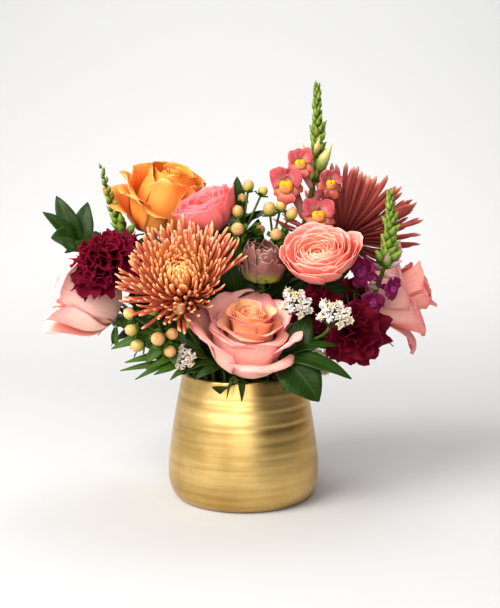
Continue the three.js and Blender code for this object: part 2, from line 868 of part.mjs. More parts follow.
// ---------------------------------------------------------------- statice
// A flat head of small papery cups on one stem.
function addStatice({ name, mouth, head, toward, radius, cups = 6 }) {
  const place = frameAt(head, toward);
  const fork = vec(0, 0, -radius * 1.1).applyMatrix4(place);
  const pieces = [stemTube(mouth, fork.toArray(), toward, 1.2)];
  const crown = turned([[0, -radius * 1.3], [radius * 0.7, 0], [0, radius * 0.25]], 5);
  pieces.push(crown.applyMatrix4(place));
  for (let k = 0; k < cups; k++) {
    const out = Math.sqrt((k + 0.4) / cups);
    const turn = rad(k * GOLDEN_ANGLE);
    const [x, y] = [Math.cos(turn) * out, Math.sin(turn) * out];
    const cup = turned([[0, 0], [radius * 0.32, radius * 0.66 + around(k, 1)], [0, radius * 0.55]], 4);
    const spread = radius * 0.55;
    cup.applyMatrix4(frameAt([x * spread, y * spread, -radius * 0.25], [x * 0.9, y * 0.9, 1], k * 40));
    pieces.push(cup.applyMatrix4(place));
  }
  addNode(`statice_${name}`, fuse(pieces), FINISH.white);
}

const STATICE = [
  { name: "upper", mouth: [9, -29], head: [40, -61, 166], toward: [0.25, -0.75, 0.6], radius: 11 },
  { name: "right", mouth: [18, -25], head: [66, -75, 158], toward: [0.2, -0.6, 0.77], radius: 12 },
  { name: "low", mouth: [19, -34], head: [55, -56, 118], toward: [0.5, -0.8, 0.1], radius: 11 },
  { name: "left", mouth: [-14, -37], head: [-44, -55, 122], toward: [-0.45, -0.85, 0.1], radius: 9 },
  { name: "back", mouth: [5, 38], head: [14, 76, 122], toward: [0.15, 0.95, 0.2], radius: 11 },
];
STATICE.forEach(addStatice);

// ---------------------------------------------------------------- leafy stems
function addFoliage({ name, mouth, end, toward, stem = 1.4, leaves }) {
  const pieces = [stemTube(mouth, end, toward, stem)];
  leaves.forEach(({ foot, tip, width, face }) => pieces.push(leafBlade(foot, tip, width, face)));
  addNode(name, fuse(pieces), FINISH.leaf);
}

addFoliage({
  name: "left_foliage",
  mouth: [-31, -5],
  end: [-127, 4, 205],
  toward: [-1, 0, 0.25],
  leaves: [
    { foot: [-128, 2, 203], tip: [-147, 6, 239], width: 13, face: [0.1, -1, 0.1] },
    { foot: [-128, 2, 203], tip: [-156, -4, 227], width: 10, face: [0.3, -0.9, 0.4] },
    { foot: [-127, 1, 202], tip: [-150, -16, 210], width: 17, face: [0, -0.7, 0.7] },
    { foot: [-127, 3, 200], tip: [-126, 9, 235], width: 14, face: [-0.1, -1, 0] },
    { foot: [-121, 2, 202], tip: [-138, -14, 196], width: 8, face: [0, -0.8, 0.5] },
  ],
});

addFoliage({
  name: "right_foliage",
  mouth: [10, -38],
  end: [30, -57, 123],
  toward: [0.6, -0.7, 0.3],
  leaves: [
    { foot: [28, -56, 122], tip: [54, -69, 94], width: 23, face: [0.2, -1, 0.3] },
    { foot: [37, -53, 122], tip: [54, -44, 146], width: 12, face: [-0.2, -1, 0.1] },
    { foot: [30, -57, 123], tip: [79, -76, 110], width: 11, face: [0.1, -0.7, 0.7] },
    { foot: [29, -55, 122], tip: [70, -62, 132], width: 10, face: [0, -0.5, 1] },
  ],
});

addFoliage({
  name: "inner_foliage",
  mouth: [-3, -17],
  end: [-4, -25, 165],
  toward: [0, -0.2, 1],
  leaves: [
    { foot: [-4, -24, 163], tip: [-14, -26, 208], width: 18, face: [0, -1, 0.2] },
    { foot: [-4, -21, 158], tip: [28, -5, 196], width: 16, face: [0, -1, 0.2] },
    { foot: [-4, -24, 150], tip: [-32, -34, 160], width: 15, face: [0, -1, 0.4] },
    { foot: [-4, -23, 140], tip: [28, -34, 158], width: 15, face: [0, -1, 0.4] },
  ],
});

addFoliage({
  name: "top_foliage",
  mouth: [0, 4],
  end: [-3, 14, 226],
  toward: [0, 0.05, 1],
  leaves: [
    { foot: [-3, 13, 220], tip: [-5, 8, 254], width: 14, face: [0, -1, 0.1] },
    { foot: [-3, 14, 214], tip: [18, 30, 224], width: 13, face: [0, -0.3, 1] },
    { foot: [-2, 13, 206], tip: [-20, 34, 226], width: 13, face: [0, 0, 1] },
  ],
});

addFoliage({
  name: "back_left_foliage",
  mouth: [-35, 14],
  end: [-92, 44, 140],
  toward: [-0.7, 0.4, 0.4],
  leaves: [
    { foot: [-90, 43, 139], tip: [-130, 52, 150], width: 15, face: [-0.2, 0.2, 1] },
    { foot: [-90, 43, 138], tip: [-112, 66, 126], width: 15, face: [-0.4, 0.6, 0.7] },
    { foot: [-80, 38, 134], tip: [-96, 56, 108], width: 14, face: [-0.5, 0.7, 0.4] },
    { foot: [-88, 42, 138], tip: [-120, 30, 124], width: 14, face: [-0.6, 0, 0.8] },
  ],
});

addFoliage({
  name: "back_right_foliage",
  mouth: [36, 14],
  end: [86, 34, 132],
  toward: [0.7, 0.4, 0.3],
  leaves: [
    { foot: [85, 34, 129], tip: [124, 34, 114], width: 15, face: [0.2, 0.2, 1] },
    { foot: [85, 34, 130], tip: [110, 26, 108], width: 14, face: [0.6, 0, 0.8] },
    { foot: [76, 30, 126], tip: [92, 48, 102], width: 14, face: [0.5, 0.6, 0.5] },
  ],
});

addNode("pot", pot(), FINISH.gold);
addNode("water", water(), FINISH.water);

export default centrepiece;
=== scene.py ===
"""Dresses a floral table centrepiece: a brushed gold pot of water that holds a low mixed bouquet.

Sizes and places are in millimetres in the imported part's own frame, and become metres when a mesh
is made. The front of the arrangement is -Y, its right is +X, and +Z is up.
"""

from __future__ import annotations

import logging
import math
from contextlib import contextmanager
from dataclasses import dataclass, field
from enum import Enum
from functools import lru_cache
from typing import Callable, Iterator, Sequence

import bmesh
import bpy
import numpy as np
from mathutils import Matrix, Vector

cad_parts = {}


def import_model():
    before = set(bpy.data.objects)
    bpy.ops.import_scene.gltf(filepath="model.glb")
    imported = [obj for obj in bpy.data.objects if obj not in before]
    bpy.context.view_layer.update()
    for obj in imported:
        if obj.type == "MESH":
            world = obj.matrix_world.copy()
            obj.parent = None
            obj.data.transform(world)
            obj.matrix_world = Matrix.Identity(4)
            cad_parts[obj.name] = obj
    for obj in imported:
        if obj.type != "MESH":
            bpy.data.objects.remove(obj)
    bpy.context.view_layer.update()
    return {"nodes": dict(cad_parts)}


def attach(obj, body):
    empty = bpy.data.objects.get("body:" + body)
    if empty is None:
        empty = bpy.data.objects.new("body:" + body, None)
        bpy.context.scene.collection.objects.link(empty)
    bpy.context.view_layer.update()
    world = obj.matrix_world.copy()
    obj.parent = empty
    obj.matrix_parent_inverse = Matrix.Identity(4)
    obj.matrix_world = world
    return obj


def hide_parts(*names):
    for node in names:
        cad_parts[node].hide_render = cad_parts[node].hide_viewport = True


LOG = logging.getLogger("centrepiece")

Spot = tuple[float, float, float]
Colour = tuple[float, float, float]
Leans = tuple[float, float, float]
Cells = tuple[int, int]  # faces across and along
Mouth = tuple[float, float]  # a stem's place in the pot's mouth
Ball = tuple[float, float, float, float]  # its middle and its radius
Array = np.ndarray
Numbers = Sequence[float]
Piece = bpy.types.Object
Blade = Callable[[Array, Array], Array]  # gives points from across and along
Socket = bpy.types.NodeSocket
Sockets = dict[str, bpy.types.NodeSocket]

MM = 0.001
GOLDEN_ANGLE = 137.508
DRAW_STEP, DRAW_START, DRAW_SPREAD = 12.9898, 4.1, 43758.5453  # what scatters the repeatable draws

POT_HEIGHT = 101.0
STEM_END = 9.0  # height of the cut ends above the ground
STEM_SPREAD = 0.9  # how far out the cut ends stand, as a share of their place in the mouth
LIP_GAP = 2.0  # how far above the rim a stem starts to bend
PETAL_THICKNESS = 0.35
LEAF_THICKNESS = 0.4
CUP_THICKNESS = 0.25
PETAL_STEPS = 28  # how finely a petal's bend is summed up
ROLL_START = 0.76  # where along a petal its rim starts to roll
RIPPLE_CUT = 0.016  # how deep a rim's ripples cut into its length
HIP_DEPTHS = (1.7, 1.2, 0.7, 0.1)  # the rings of a hip behind its bloom, as shares of its radius
HIP_WIDTHS = (0.7, 1.0, 1.0, 0.75)
RAY_STEPS = 9
RAY_CUTS = (1.0, 0.88, 0.76, 0.64, 0.5)  # the shares that a ray is cut to until it has room
SPIKE_STEPS = 60
# what shuts a snapdragon's mouth: across, down and wide, as shares of the flower, and its ring
SWELLINGS = ((-0.07, 0.06, 0.12, 0.0), (0.07, 0.06, 0.12, 0.0), (0.0, 0.15, 0.19, 0.42))
TWIG_WIDTHS = (0.3, 0.8, 0.8, 0.6, 0.1)


# ---- numbers and lines
def lerp(start: float, end: float, share: float) -> float:
    """Goes from start to end by a share."""
    return start + (end - start) * share


def smooth(value: Array | float, low: float, high: float) -> Array:
    """Rises smoothly from 0 at low to 1 at high."""
    share = np.clip((value - low) / (high - low), 0.0, 1.0)
    return share * share * (3.0 - 2.0 * share)


def draw(seed: float) -> float:
    """Gives a repeatable draw from 0 to 1."""
    scattered = math.sin(seed * DRAW_STEP + DRAW_START) * DRAW_SPREAD
    return scattered - math.floor(scattered)


def around(seed: float, spread: float) -> float:
    """Gives a repeatable draw from -spread to spread."""
    return (draw(seed) - 0.5) * 2.0 * spread


def strayed(leans: Leans, seed: float, spread: float) -> Leans:
    """Makes each of a petal's leans a little different by a repeatable draw."""
    return tuple(lean + around(seed + at, spread) for at, lean in enumerate(leans))


def unit(vector: Numbers) -> Array:
    """Gives a vector the length 1."""
    array = np.asarray(vector, float)
    return array / np.linalg.norm(array)


def frame_at(foot: Numbers, toward: Numbers, roll: float = 0.0) -> Array:
    """Builds the matrix that carries a bloom's own frame to its place.

    Args:
        foot: where the frame's origin goes.
        toward: the way its +Z looks.
        roll: degrees that it turns about its own +Z.

    Returns:
        A 4 by 4 matrix.
    """
    turn = Vector((0, 0, 1)).rotation_difference(Vector(toward).normalized()).to_matrix()
    cos, sin = math.cos(math.radians(roll)), math.sin(math.radians(roll))
    matrix = np.eye(4)
    matrix[:3, :3] = np.array(turn) @ np.array(((cos, -sin, 0), (sin, cos, 0), (0, 0, 1)))
    matrix[:3, 3] = foot
    return matrix


def upright_frame(foot: Numbers, toward: Numbers) -> Array:
    """Builds the matrix of a flower whose +Z looks toward a way and whose +Y is its upper side.

    Args:
        foot: where the flower's origin goes.
        toward: the way its +Z looks.

    Returns:
        A 4 by 4 matrix.
    """
    ahead = unit(toward)
    up = unit(np.array((0.0, 0.0, 1.0)) - ahead * ahead[2])
    matrix = np.eye(4)
    matrix[:3, :3] = np.column_stack((np.cross(up, ahead), up, ahead))
    matrix[:3, 3] = foot
    return matrix


def carry(points: Array, matrix: Array) -> Array:
    """Moves points by a matrix."""
    return points @ matrix[:3, :3].T + matrix[:3, 3]


def bezier(knots: Sequence[Array], steps: int) -> Array:
    """Samples a cubic curve through its first and last knot.

    Args:
        knots: its two ends and the two knots between that it bends towards.
        steps: how many parts it is cut into.

    Returns:
        Its points, one more than its parts.
    """
    t = np.linspace(0, 1, steps + 1)[:, None]
    a, b, c, d = knots
    return a * (1 - t) ** 3 + 3 * b * t * (1 - t) ** 2 + 3 * c * t * t * (1 - t) + d * t**3


def through(spots: Sequence[Spot], steps: int) -> Array:
    """Samples a smooth curve that passes through every spot.

    Args:
        spots: what it passes through.
        steps: how many parts it is cut into.

    Returns:
        Its points, one more than its parts.
    """
    p = np.asarray(spots, float)
    p = np.vstack((2 * p[0] - p[1], p, 2 * p[-1] - p[-2]))
    spans = len(spots) - 1
    out = []
    for t in np.linspace(0, spans, steps + 1):
        k = min(int(t), spans - 1)
        s = t - k
        a, b, c, d = p[k : k + 4]
        bend, twist = 2 * a - 5 * b + 4 * c - d, 3 * (b - c) + d - a
        out.append(0.5 * (2 * b + (c - a) * s + bend * s**2 + twist * s**3))
    return np.array(out)


# ---- the bench
def fresh(primitive: Callable[..., set[str]], **sizes: object) -> Piece:
    """Adds a primitive with nothing else selected.

    Args:
        primitive: the operator that adds it.
        **sizes: its settings.

    Returns:
        The new object.
    """
    bpy.ops.object.select_all(action="DESELECT")
    primitive(**sizes)
    return bpy.context.active_object


@contextmanager
def editing(piece: Piece) -> Iterator[None]:
    """Opens a piece in edit mode with nothing selected, and closes it again.

    Args:
        piece: the object to edit.

    Returns:
        Nothing that the with statement needs.
    """
    bpy.context.view_layer.objects.active = piece
    bpy.ops.object.mode_set(mode="EDIT")
    bpy.ops.mesh.select_all(action="DESELECT")
    yield
    bpy.ops.object.mode_set(mode="OBJECT")


def pick(piece: Piece, test: Callable[[Vector], bool]) -> None:
    """Selects the faces of a piece in edit mode whose middle passes a test.

    Args:
        piece: the object in edit mode.
        test: says whether a face's middle is wanted.
    """
    mesh = bmesh.from_edit_mesh(piece.data)
    for face in mesh.faces:
        face.select = False
    for face in mesh.faces:
        if test(face.calc_center_median()):
            face.select = True  # after all are off, so that no neighbour takes its corners away
    mesh.select_flush_mode()
    bmesh.update_edit_mesh(piece.data)


def apply_modifier(piece: Piece, kind: str, **settings: object) -> None:
    """Adds a modifier to a piece and applies it.

    Args:
        piece: the object.
        kind: the modifier's type.
        **settings: its settings.
    """
    bpy.ops.object.select_all(action="DESELECT")
    piece.select_set(True)
    bpy.context.view_layer.objects.active = piece
    modifier = piece.modifiers.new(kind.title(), kind)
    for name, value in settings.items():
        setattr(modifier, name, value)
    bpy.ops.object.modifier_apply(modifier=modifier.name)


def extrude(*move: float) -> None:
    """Extrudes what is selected in edit mode by a move in metres."""
    bpy.ops.mesh.extrude_region_move(TRANSFORM_OT_translate={"value": move})


@dataclass(frozen=True)
class Template:
    """A small mesh that is modelled once and copied, each copy with its own mesh."""

    points: Array
    faces: tuple[Array, ...]
    sheet: Array

    @staticmethod
    def taken_from(piece: Piece, sheet: Callable[[Array], Array]) -> Template:
        """Reads a piece into a template and clears it from the scene.

        Args:
            piece: the modelled object.
            sheet: gives each point's place on the surface, across and along.

        Returns:
            The template.
        """
        mesh = piece.data
        points = np.empty(len(mesh.vertices) * 3)
        mesh.vertices.foreach_get("co", points)
        points = points.reshape(-1, 3)
        by_size: dict[int, list[list[int]]] = {}
        for face in mesh.polygons:
            by_size.setdefault(len(face.vertices), []).append(list(face.vertices))
        faces = tuple(np.array(group) for group in by_size.values())
        bpy.data.objects.remove(piece)
        bpy.data.meshes.remove(mesh)
        return Template(points, faces, sheet(points))


def turned_sheet(points: Array) -> Array:
    """Gives a turned template its surface coordinates: the angle across and the height along.

    Args:
        points: the template's points.

    Returns:
        Across and along for each point, each from 0 to 1.
    """
    height = points[:, 2]
    share = (height - height.min()) / np.ptp(height)
    return np.column_stack((np.arctan2(points[:, 1], points[:, 0]) / math.tau + 0.5, share))


@lru_cache(maxsize=None)
def grid(across: int, along: int) -> Template:
    """Models the flat sheet that petals and leaves are shaped from."""
    flat = fresh(bpy.ops.mesh.primitive_grid_add, x_subdivisions=across, y_subdivisions=along, size=2)
    return Template.taken_from(flat, lambda p: np.column_stack((p[:, 0], (p[:, 1] + 1) / 2)))


@lru_cache(maxsize=None)
def berry_template() -> Template:
    """Models a berry of radius 1 that stands on the origin, with the dried tip it ends in.

    Returns:
        The template.
    """
    berry = fresh(bpy.ops.mesh.primitive_uv_sphere_add, segments=14, ring_count=10, radius=1)
    with editing(berry):
        bpy.ops.mesh.select_all(action="SELECT")
        bpy.ops.transform.resize(value=(0.96, 0.96, 1.1))
        bpy.ops.transform.translate(value=(0, 0, 1.07))
        pick(berry, lambda c: c.z > 2.02)
        bpy.ops.mesh.inset(thickness=0.06)
        bpy.ops.transform.translate(value=(0, 0, 0.12))
        bpy.ops.transform.resize(value=(0.4, 0.4, 1))
    return Template.taken_from(berry, turned_sheet)


@lru_cache(maxsize=None)
def bud_template() -> Template:
    """Models a closed bud of length 1 that stands on the origin, full low down and pinched at its tip.

    Returns:
        The template.
    """
    bud = fresh(bpy.ops.mesh.primitive_uv_sphere_add, segments=8, ring_count=8, radius=0.5)
    with editing(bud):
        bpy.ops.mesh.select_all(action="SELECT")
        bpy.ops.transform.resize(value=(0.62, 0.62, 1))
        bpy.ops.transform.translate(value=(0, 0, 0.5))
        pick(bud, lambda c: c.z > 0.6)
        bpy.ops.transform.resize(value=(0.7, 0.7, 1))
        pick(bud, lambda c: c.z > 0.85)
        bpy.ops.transform.resize(value=(0.6, 0.6, 1))
    return Template.taken_from(bud, turned_sheet)


class Draft:
    """Gathers points, faces and surface coordinates before they become one mesh."""

    def __init__(self) -> None:
        """Starts with nothing on the bench."""
        self.points: list[Array] = []
        self.faces: list[Array] = []
        self.sheet: list[Array] = []
        self.kind: list[Array] = []
        self.count = 0

    def add(
        self, points: Array, faces: Sequence[Array], sheet: Array, ring: float, seed: float
    ) -> None:
        """Adds one closed shape or open sheet.

        Args:
            points: its points in millimetres.
            faces: arrays of point numbers, one array for each number of corners.
            sheet: across and along for each point, each from 0 to 1.
            ring: how far out in its bloom it stands, from 0 to 1.
            seed: what its own draw is made from.
        """
        self.points.append(points)
        self.faces.extend(group + self.count for group in faces)
        self.sheet.append(sheet)
        self.kind.append(np.tile((ring, draw(seed)), (len(points), 1)))
        self.count += len(points)

    def stamp(
        self, template: Template, place: Array, scale: Numbers, ring: float = 0.0, seed: float = 0.0
    ) -> None:
        """Adds a scaled copy of a template at a place."""
        points = carry(template.points * np.asarray(scale, float), place)
        self.add(points, template.faces, template.sheet, ring, seed)

    def tube(
        self,
        line: Array,
        radii: Array | float,
        sides: int,
        flat: float = 1.0,
        ring: float = 0.0,
        seed: float = 0.0,
        across: Numbers = (0.31, 0.95, 0.11),
    ) -> None:
        """Adds a closed tube along a line.

        Args:
            line: its points.
            radii: its radius, or one for each point.
            sides: how many sides it has.
            flat: its thickness as a share of its width.
            ring: how far out in its bloom it stands.
            seed: what its own draw is made from.
            across: the way that its width lies.
        """
        count = len(line)
        radii = np.broadcast_to(np.asarray(radii, float), (count,))
        along = np.gradient(line, axis=0)
        along /= np.linalg.norm(along, axis=1)[:, None]
        across = np.asarray(across, float)
        turns = np.linspace(0, math.tau, sides, endpoint=False)
        rows = []
        for point, radius, ahead in zip(line, radii, along):
            across = unit(across - ahead * across.dot(ahead))
            other = np.cross(ahead, across)
            ringed = np.outer(np.cos(turns), across) + np.outer(np.sin(turns) * flat, other)
            rows.append(point + ringed * radius)
        k = np.arange(count - 1)[:, None] * sides
        a = (k + np.arange(sides)).ravel()
        b = (k + (np.arange(sides) + 1) % sides).ravel()
        walls = np.column_stack((a, b, b + sides, a + sides))
        ends = np.array((np.arange(sides)[::-1], np.arange(sides) + (count - 1) * sides))
        sheet = np.array([(s / sides, j / (count - 1)) for j in range(count) for s in range(sides)])
        self.add(np.vstack(rows), (walls, ends), sheet, ring, seed)

    def sheet_of(
        self, surface: Blade, cells: Cells, place: Array | None = None, ring: float = 0.0, seed: float = 0.0
    ) -> None:
        """Adds an open sheet shaped by a formula.

        Args:
            surface: gives points from across, -1 to 1, and along, 0 to 1.
            cells: how many faces it has across and along.
            place: the matrix that carries it to its place.
            ring: how far out in its bloom it stands.
            seed: what its own draw is made from.
        """
        flat = grid(*cells)
        points = surface(flat.sheet[:, 0], flat.sheet[:, 1])
        if place is not None:
            points = carry(points, place)
        sheet = np.column_stack(((flat.sheet[:, 0] + 1) / 2, flat.sheet[:, 1]))
        self.add(points, flat.faces, sheet, ring, seed)

    def finish(
        self, name: str, slot: str, finish: Finish, nodes: Sequence[str] = (), thickness: float = 0.0
    ) -> Piece:
        """Makes the mesh, gives open sheets their thickness, and dresses the piece.

        Args:
            name: the piece's name.
            slot: the record's material slot that it takes its finish from.
            finish: how its surface looks.
            nodes: the plain solids that it stands for.
            thickness: the thickness of its sheets in millimetres, or 0 where all its shapes are closed.

        Returns:
            The finished object.
        """
        mesh = bpy.data.meshes.new(name)
        points = np.concatenate(self.points) * MM
        corners = np.concatenate([group.ravel() for group in self.faces]).astype(np.int32)
        sizes = np.concatenate([np.full(len(group), group.shape[1]) for group in self.faces])
        mesh.vertices.add(len(points))
        mesh.vertices.foreach_set("co", points.ravel())
        mesh.loops.add(len(corners))
        mesh.loops.foreach_set("vertex_index", corners)
        mesh.polygons.add(len(sizes))
        starts = np.concatenate(((0,), np.cumsum(sizes)[:-1]))
        mesh.polygons.foreach_set("loop_start", starts.astype(np.int32))
        mesh.update(calc_edges=True)
        mesh.polygons.foreach_set("use_smooth", np.ones(len(sizes), bool))
        for layer_name, values in (("sheet", self.sheet), ("kind", self.kind)):
            layer = mesh.uv_layers.new(name=layer_name)
            layer.uv.foreach_set("vector", np.concatenate(values)[corners].ravel())
        mesh.update()
        piece = bpy.data.objects.new(name, mesh)
        bpy.context.collection.objects.link(piece)
        if thickness:
            apply_modifier(piece, "SOLIDIFY", thickness=thickness * MM, offset=-1.0)
        return dress(piece, slot, finish, nodes)


def dress(
    piece: Piece, slot: str, finish: Finish, nodes: Sequence[str] = ()
) -> Piece:
    """Gives a finished piece its material and its body, and hides the plain solids that it stands for.

    Args:
        piece: the finished object.
        slot: not used.
        finish: how its surface looks.
        nodes: the plain solids that it stands for.

    Returns:
        The same object.
    """
    piece.data.materials.clear()
    piece.data.materials.append(finish.material())
    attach(piece, "root")
    if nodes:
        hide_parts(*nodes)
    LOG.info("%s: %d faces", piece.name, len(piece.data.polygons))
    return piece


# ---- shader nodes
# Noise scales are features per metre, or per sheet of a petal.
PETAL_CLOUDS, PETAL_GRAIN = 42.0, 900.0
LEAF_CLOUDS, LEAF_GRAIN = 75.0, 500.0
BERRY_CLOUDS, BERRY_GRAIN = 160.0, 380.0
METAL_CLOUDS, WATER_CLOUDS = 26.0, 30.0
PETAL_VEINS = (46.0, 2.6, 31.0)  # across, along, and from one petal to the next
SIDE_VEINS, VEIN_SLANT = 66.0, 15.0
METAL_STREAKS = (9.0, 9.0, 210.0)
METAL_HAIRLINES = (40.0, 40.0, 2600.0)


class Bench:
    """Adds shader nodes to one tree and links them."""

    def __init__(self, tree: bpy.types.NodeTree) -> None:
        """Takes the tree that it works on."""
        self.tree = tree

    def add(
        self, kind: str, inputs: dict[str | int, object] | None = None, **settings: object
    ) -> bpy.types.Node:
        """Adds a node.

        Args:
            kind: its type, without the word ShaderNode.
            inputs: a number, a colour or another node's socket for each named or numbered input.
            **settings: the node's own settings.

        Returns:
            The node.
        """
        node = self.tree.nodes.new(f"ShaderNode{kind}")
        for name, value in settings.items():
            setattr(node, name, value)
        for name, value in (inputs or {}).items():
            if isinstance(value, Socket):
                self.tree.links.new(value, node.inputs[name])
            else:
                node.inputs[name].default_value = value
        return node

    def math(self, operation: str, *values: object) -> Socket:
        """Adds a sum of numbers and sockets."""
        return self.add("Math", dict(enumerate(values)), operation=operation).outputs[0]

    def plus(self, first: object, second: object) -> Socket:
        """Adds two values."""
        return self.math("ADD", first, second)

    def less(self, first: object, second: object) -> Socket:
        """Takes the second value from the first."""
        return self.math("SUBTRACT", first, second)

    def times(self, first: object, second: object) -> Socket:
        """Multiplies two values."""
        return self.math("MULTIPLY", first, second)

    def sway(self, value: object, reach: object) -> Socket:
        """Turns 0 to 1 into a change about nothing that is as wide as reach."""
        return self.times(self.less(value, 0.5), reach)

    def ramp(self, value: Socket, low: float, high: float) -> Socket:
        """Rises smoothly from 0 at low to 1 at high."""
        inputs = {"Value": value, "From Min": low, "From Max": high}
        return self.add("MapRange", inputs, interpolation_type="SMOOTHSTEP").outputs[0]

    def mix(self, share: object, first: object, second: object) -> Socket:
        """Mixes two colours by a share."""
        return self.add("Mix", {0: share, 6: first, 7: second}, data_type="RGBA").outputs[2]

    def tinted(self, colour: Socket, value: Socket) -> Socket:
        """Makes a colour lighter or darker."""
        return self.add("HueSaturation", {"Value": value, "Color": colour}).outputs[0]

    def noise(self, vector: object, scale: float, detail: float = 2.0) -> Socket:
        """Adds a noise from 0 to 1."""
        return self.add("TexNoise", {"Vector": vector, "Scale": scale, "Detail": detail}).outputs[0]

    def scaled(self, parts: Sequence[Socket], scales: Numbers) -> Socket:
        """Joins three numbers into a vector, each at its own scale."""
        values = [self.times(part, scale) for part, scale in zip(parts, scales)]
        return self.add("CombineXYZ", dict(enumerate(values))).outputs[0]

    def place(self) -> Socket:
        """Gives the place on the piece, in metres."""
        return self.add("TexCoord").outputs["Object"]

    def parts(self, vector: Socket) -> Sequence[Socket]:
        """Takes a vector apart."""
        return self.add("SeparateXYZ", {0: vector}).outputs

    def layer(self, name: str) -> Sequence[Socket]:
        """Reads one of the piece's own surface layers as two numbers."""
        return self.parts(self.add("UVMap", uv_map=name).outputs[0])[:2]

    def from_middle(self, across: Socket) -> Socket:
        """Turns across, 0 to 1, into the distance from the middle, 0 to 1."""
        return self.math("ABSOLUTE", self.less(self.times(across, 2.0), 1.0))


def group_of(
    name: str,
    inputs: Sequence[tuple[str, str]],
    outputs: Sequence[tuple[str, str]],
    wire: Callable[[Bench, Sockets], Sockets],
) -> bpy.types.NodeTree:
    """Builds a shader node group once, and gives it again when it is asked for again.

    Args:
        name: the group's name.
        inputs: the name and kind, Color or Float, of each input.
        outputs: the same of each output.
        wire: builds what is inside from the inputs' sockets, and gives a socket for each output.

    Returns:
        The group.
    """
    if name in bpy.data.node_groups:
        return bpy.data.node_groups[name]
    tree = bpy.data.node_groups.new(name, "ShaderNodeTree")
    for way, sockets in (("INPUT", inputs), ("OUTPUT", outputs)):
        for socket, kind in sockets:
            tree.interface.new_socket(socket, in_out=way, socket_type=f"NodeSocket{kind}")
    start = tree.nodes.new("NodeGroupInput")
    end = tree.nodes.new("NodeGroupOutput")
    for socket, value in wire(Bench(tree), dict(start.outputs.items())).items():
        tree.links.new(value, end.inputs[socket])
    return tree


def wire_petal(bench: Bench, given: Sockets) -> Sockets:
    """Wires a petal's colour: heart to outside, foot to rim, with veins, blushes and a rim tint that is a
    painted highlight on some finishes.

    Args:
        bench: adds the nodes.
        given: the group's inputs.

    Returns:
        The group's outputs.
    """
    across, along = bench.layer("sheet")
    ring, own = bench.layer("kind")
    place = bench.place()
    drift = bench.sway(bench.noise(place, PETAL_CLOUDS, 3.0), 0.34)
    colour = bench.mix(bench.ramp(bench.plus(ring, drift), 0.05, 0.85), given["Heart"], given["Body"])
    low = bench.ramp(bench.plus(along, drift), 0.62, 0.0)
    colour = bench.mix(bench.times(low, given["Foot Reach"]), colour, given["Foot"])
    edge = bench.math("MAXIMUM", along, bench.math("POWER", bench.from_middle(across), 3.0))
    reach = bench.less(1.0, given["Rim Width"])
    near = bench.math("DIVIDE", bench.less(bench.plus(edge, drift), reach), given["Rim Width"])
    rim = bench.times(bench.ramp(near, 0.0, 1.1), given["Rim Reach"])
    rim = bench.times(rim, bench.ramp(ring, -0.05, 0.3))
    # the rim tint is a painted highlight on the finishes noted where they are listed, and an edge colour on
    # the rest
    colour = bench.mix(rim, colour, given["Rim"])
    streaks = bench.noise(bench.scaled((across, along, own), PETAL_VEINS), 1.0)
    vein = bench.ramp(streaks, 0.3, 0.72)
    shade = bench.plus(bench.sway(vein, given["Veins"]), bench.times(drift, 0.5))
    value = bench.plus(1.0, bench.plus(bench.sway(own, 0.16), shade))
    fine = bench.noise(place, PETAL_GRAIN, 1.0)
    height = bench.plus(bench.times(vein, 0.7), bench.times(fine, 0.3))
    return {"Colour": bench.tinted(colour, value), "Height": height}


def wire_leaf(bench: Bench, given: Sockets) -> Sockets:
    """Wires a leaf's colour: a pale rib, side veins that run out to the edge, and a mottled blade.

    Args:
        bench: adds the nodes.
        given: the group's inputs.

    Returns:
        The group's outputs.
    """
    across, along = bench.layer("sheet")
    own = bench.layer("kind")[1]
    place = bench.place()
    side = bench.from_middle(across)
    rib = bench.ramp(side, 0.085, 0.02)
    phase = bench.less(bench.times(along, SIDE_VEINS), bench.times(side, VEIN_SLANT))
    vein = bench.times(bench.ramp(bench.math("SINE", phase), 0.86, 1.0), 0.5)
    lines = bench.math("MAXIMUM", rib, vein)
    cloud = bench.noise(place, LEAF_CLOUDS, 3.0)
    value = bench.plus(bench.sway(cloud, 0.9), bench.plus(0.78, bench.times(own, 0.44)))
    colour = bench.mix(bench.times(bench.ramp(side, 0.8, 1.0), 0.35), given["Body"], given["Rib"])
    colour = bench.tinted(colour, value)
    colour = bench.mix(bench.times(lines, given["Veins"]), colour, given["Rib"])
    height = bench.less(bench.times(bench.noise(place, LEAF_GRAIN, 1.0), 0.2), lines)
    return {"Colour": colour, "Height": height}


def wire_turned(bench: Bench, given: Sockets) -> Sockets:
    """Wires a berry's or a bud's colour: mottled from foot to tip, with a darker blush on one side.

    Args:
        bench: adds the nodes.
        given: the group's inputs.

    Returns:
        The group's outputs.
    """
    across, along = bench.layer("sheet")
    own = bench.layer("kind")[1]
    place = bench.place()
    drift = bench.sway(bench.noise(place, BERRY_CLOUDS, 3.0), 0.5)
    colour = bench.mix(bench.ramp(bench.plus(along, drift), 0.1, 0.95), given["Foot"], given["Tip"])
    side = bench.math("SINE", bench.times(bench.plus(across, own), math.tau))
    blush = bench.times(bench.ramp(bench.plus(side, drift), 0.1, 1.3), given["Blush Reach"])
    colour = bench.mix(blush, colour, given["Blush"])
    value = bench.plus(0.88, bench.times(own, 0.24))
    return {"Colour": bench.tinted(colour, value), "Height": bench.noise(place, BERRY_GRAIN)}


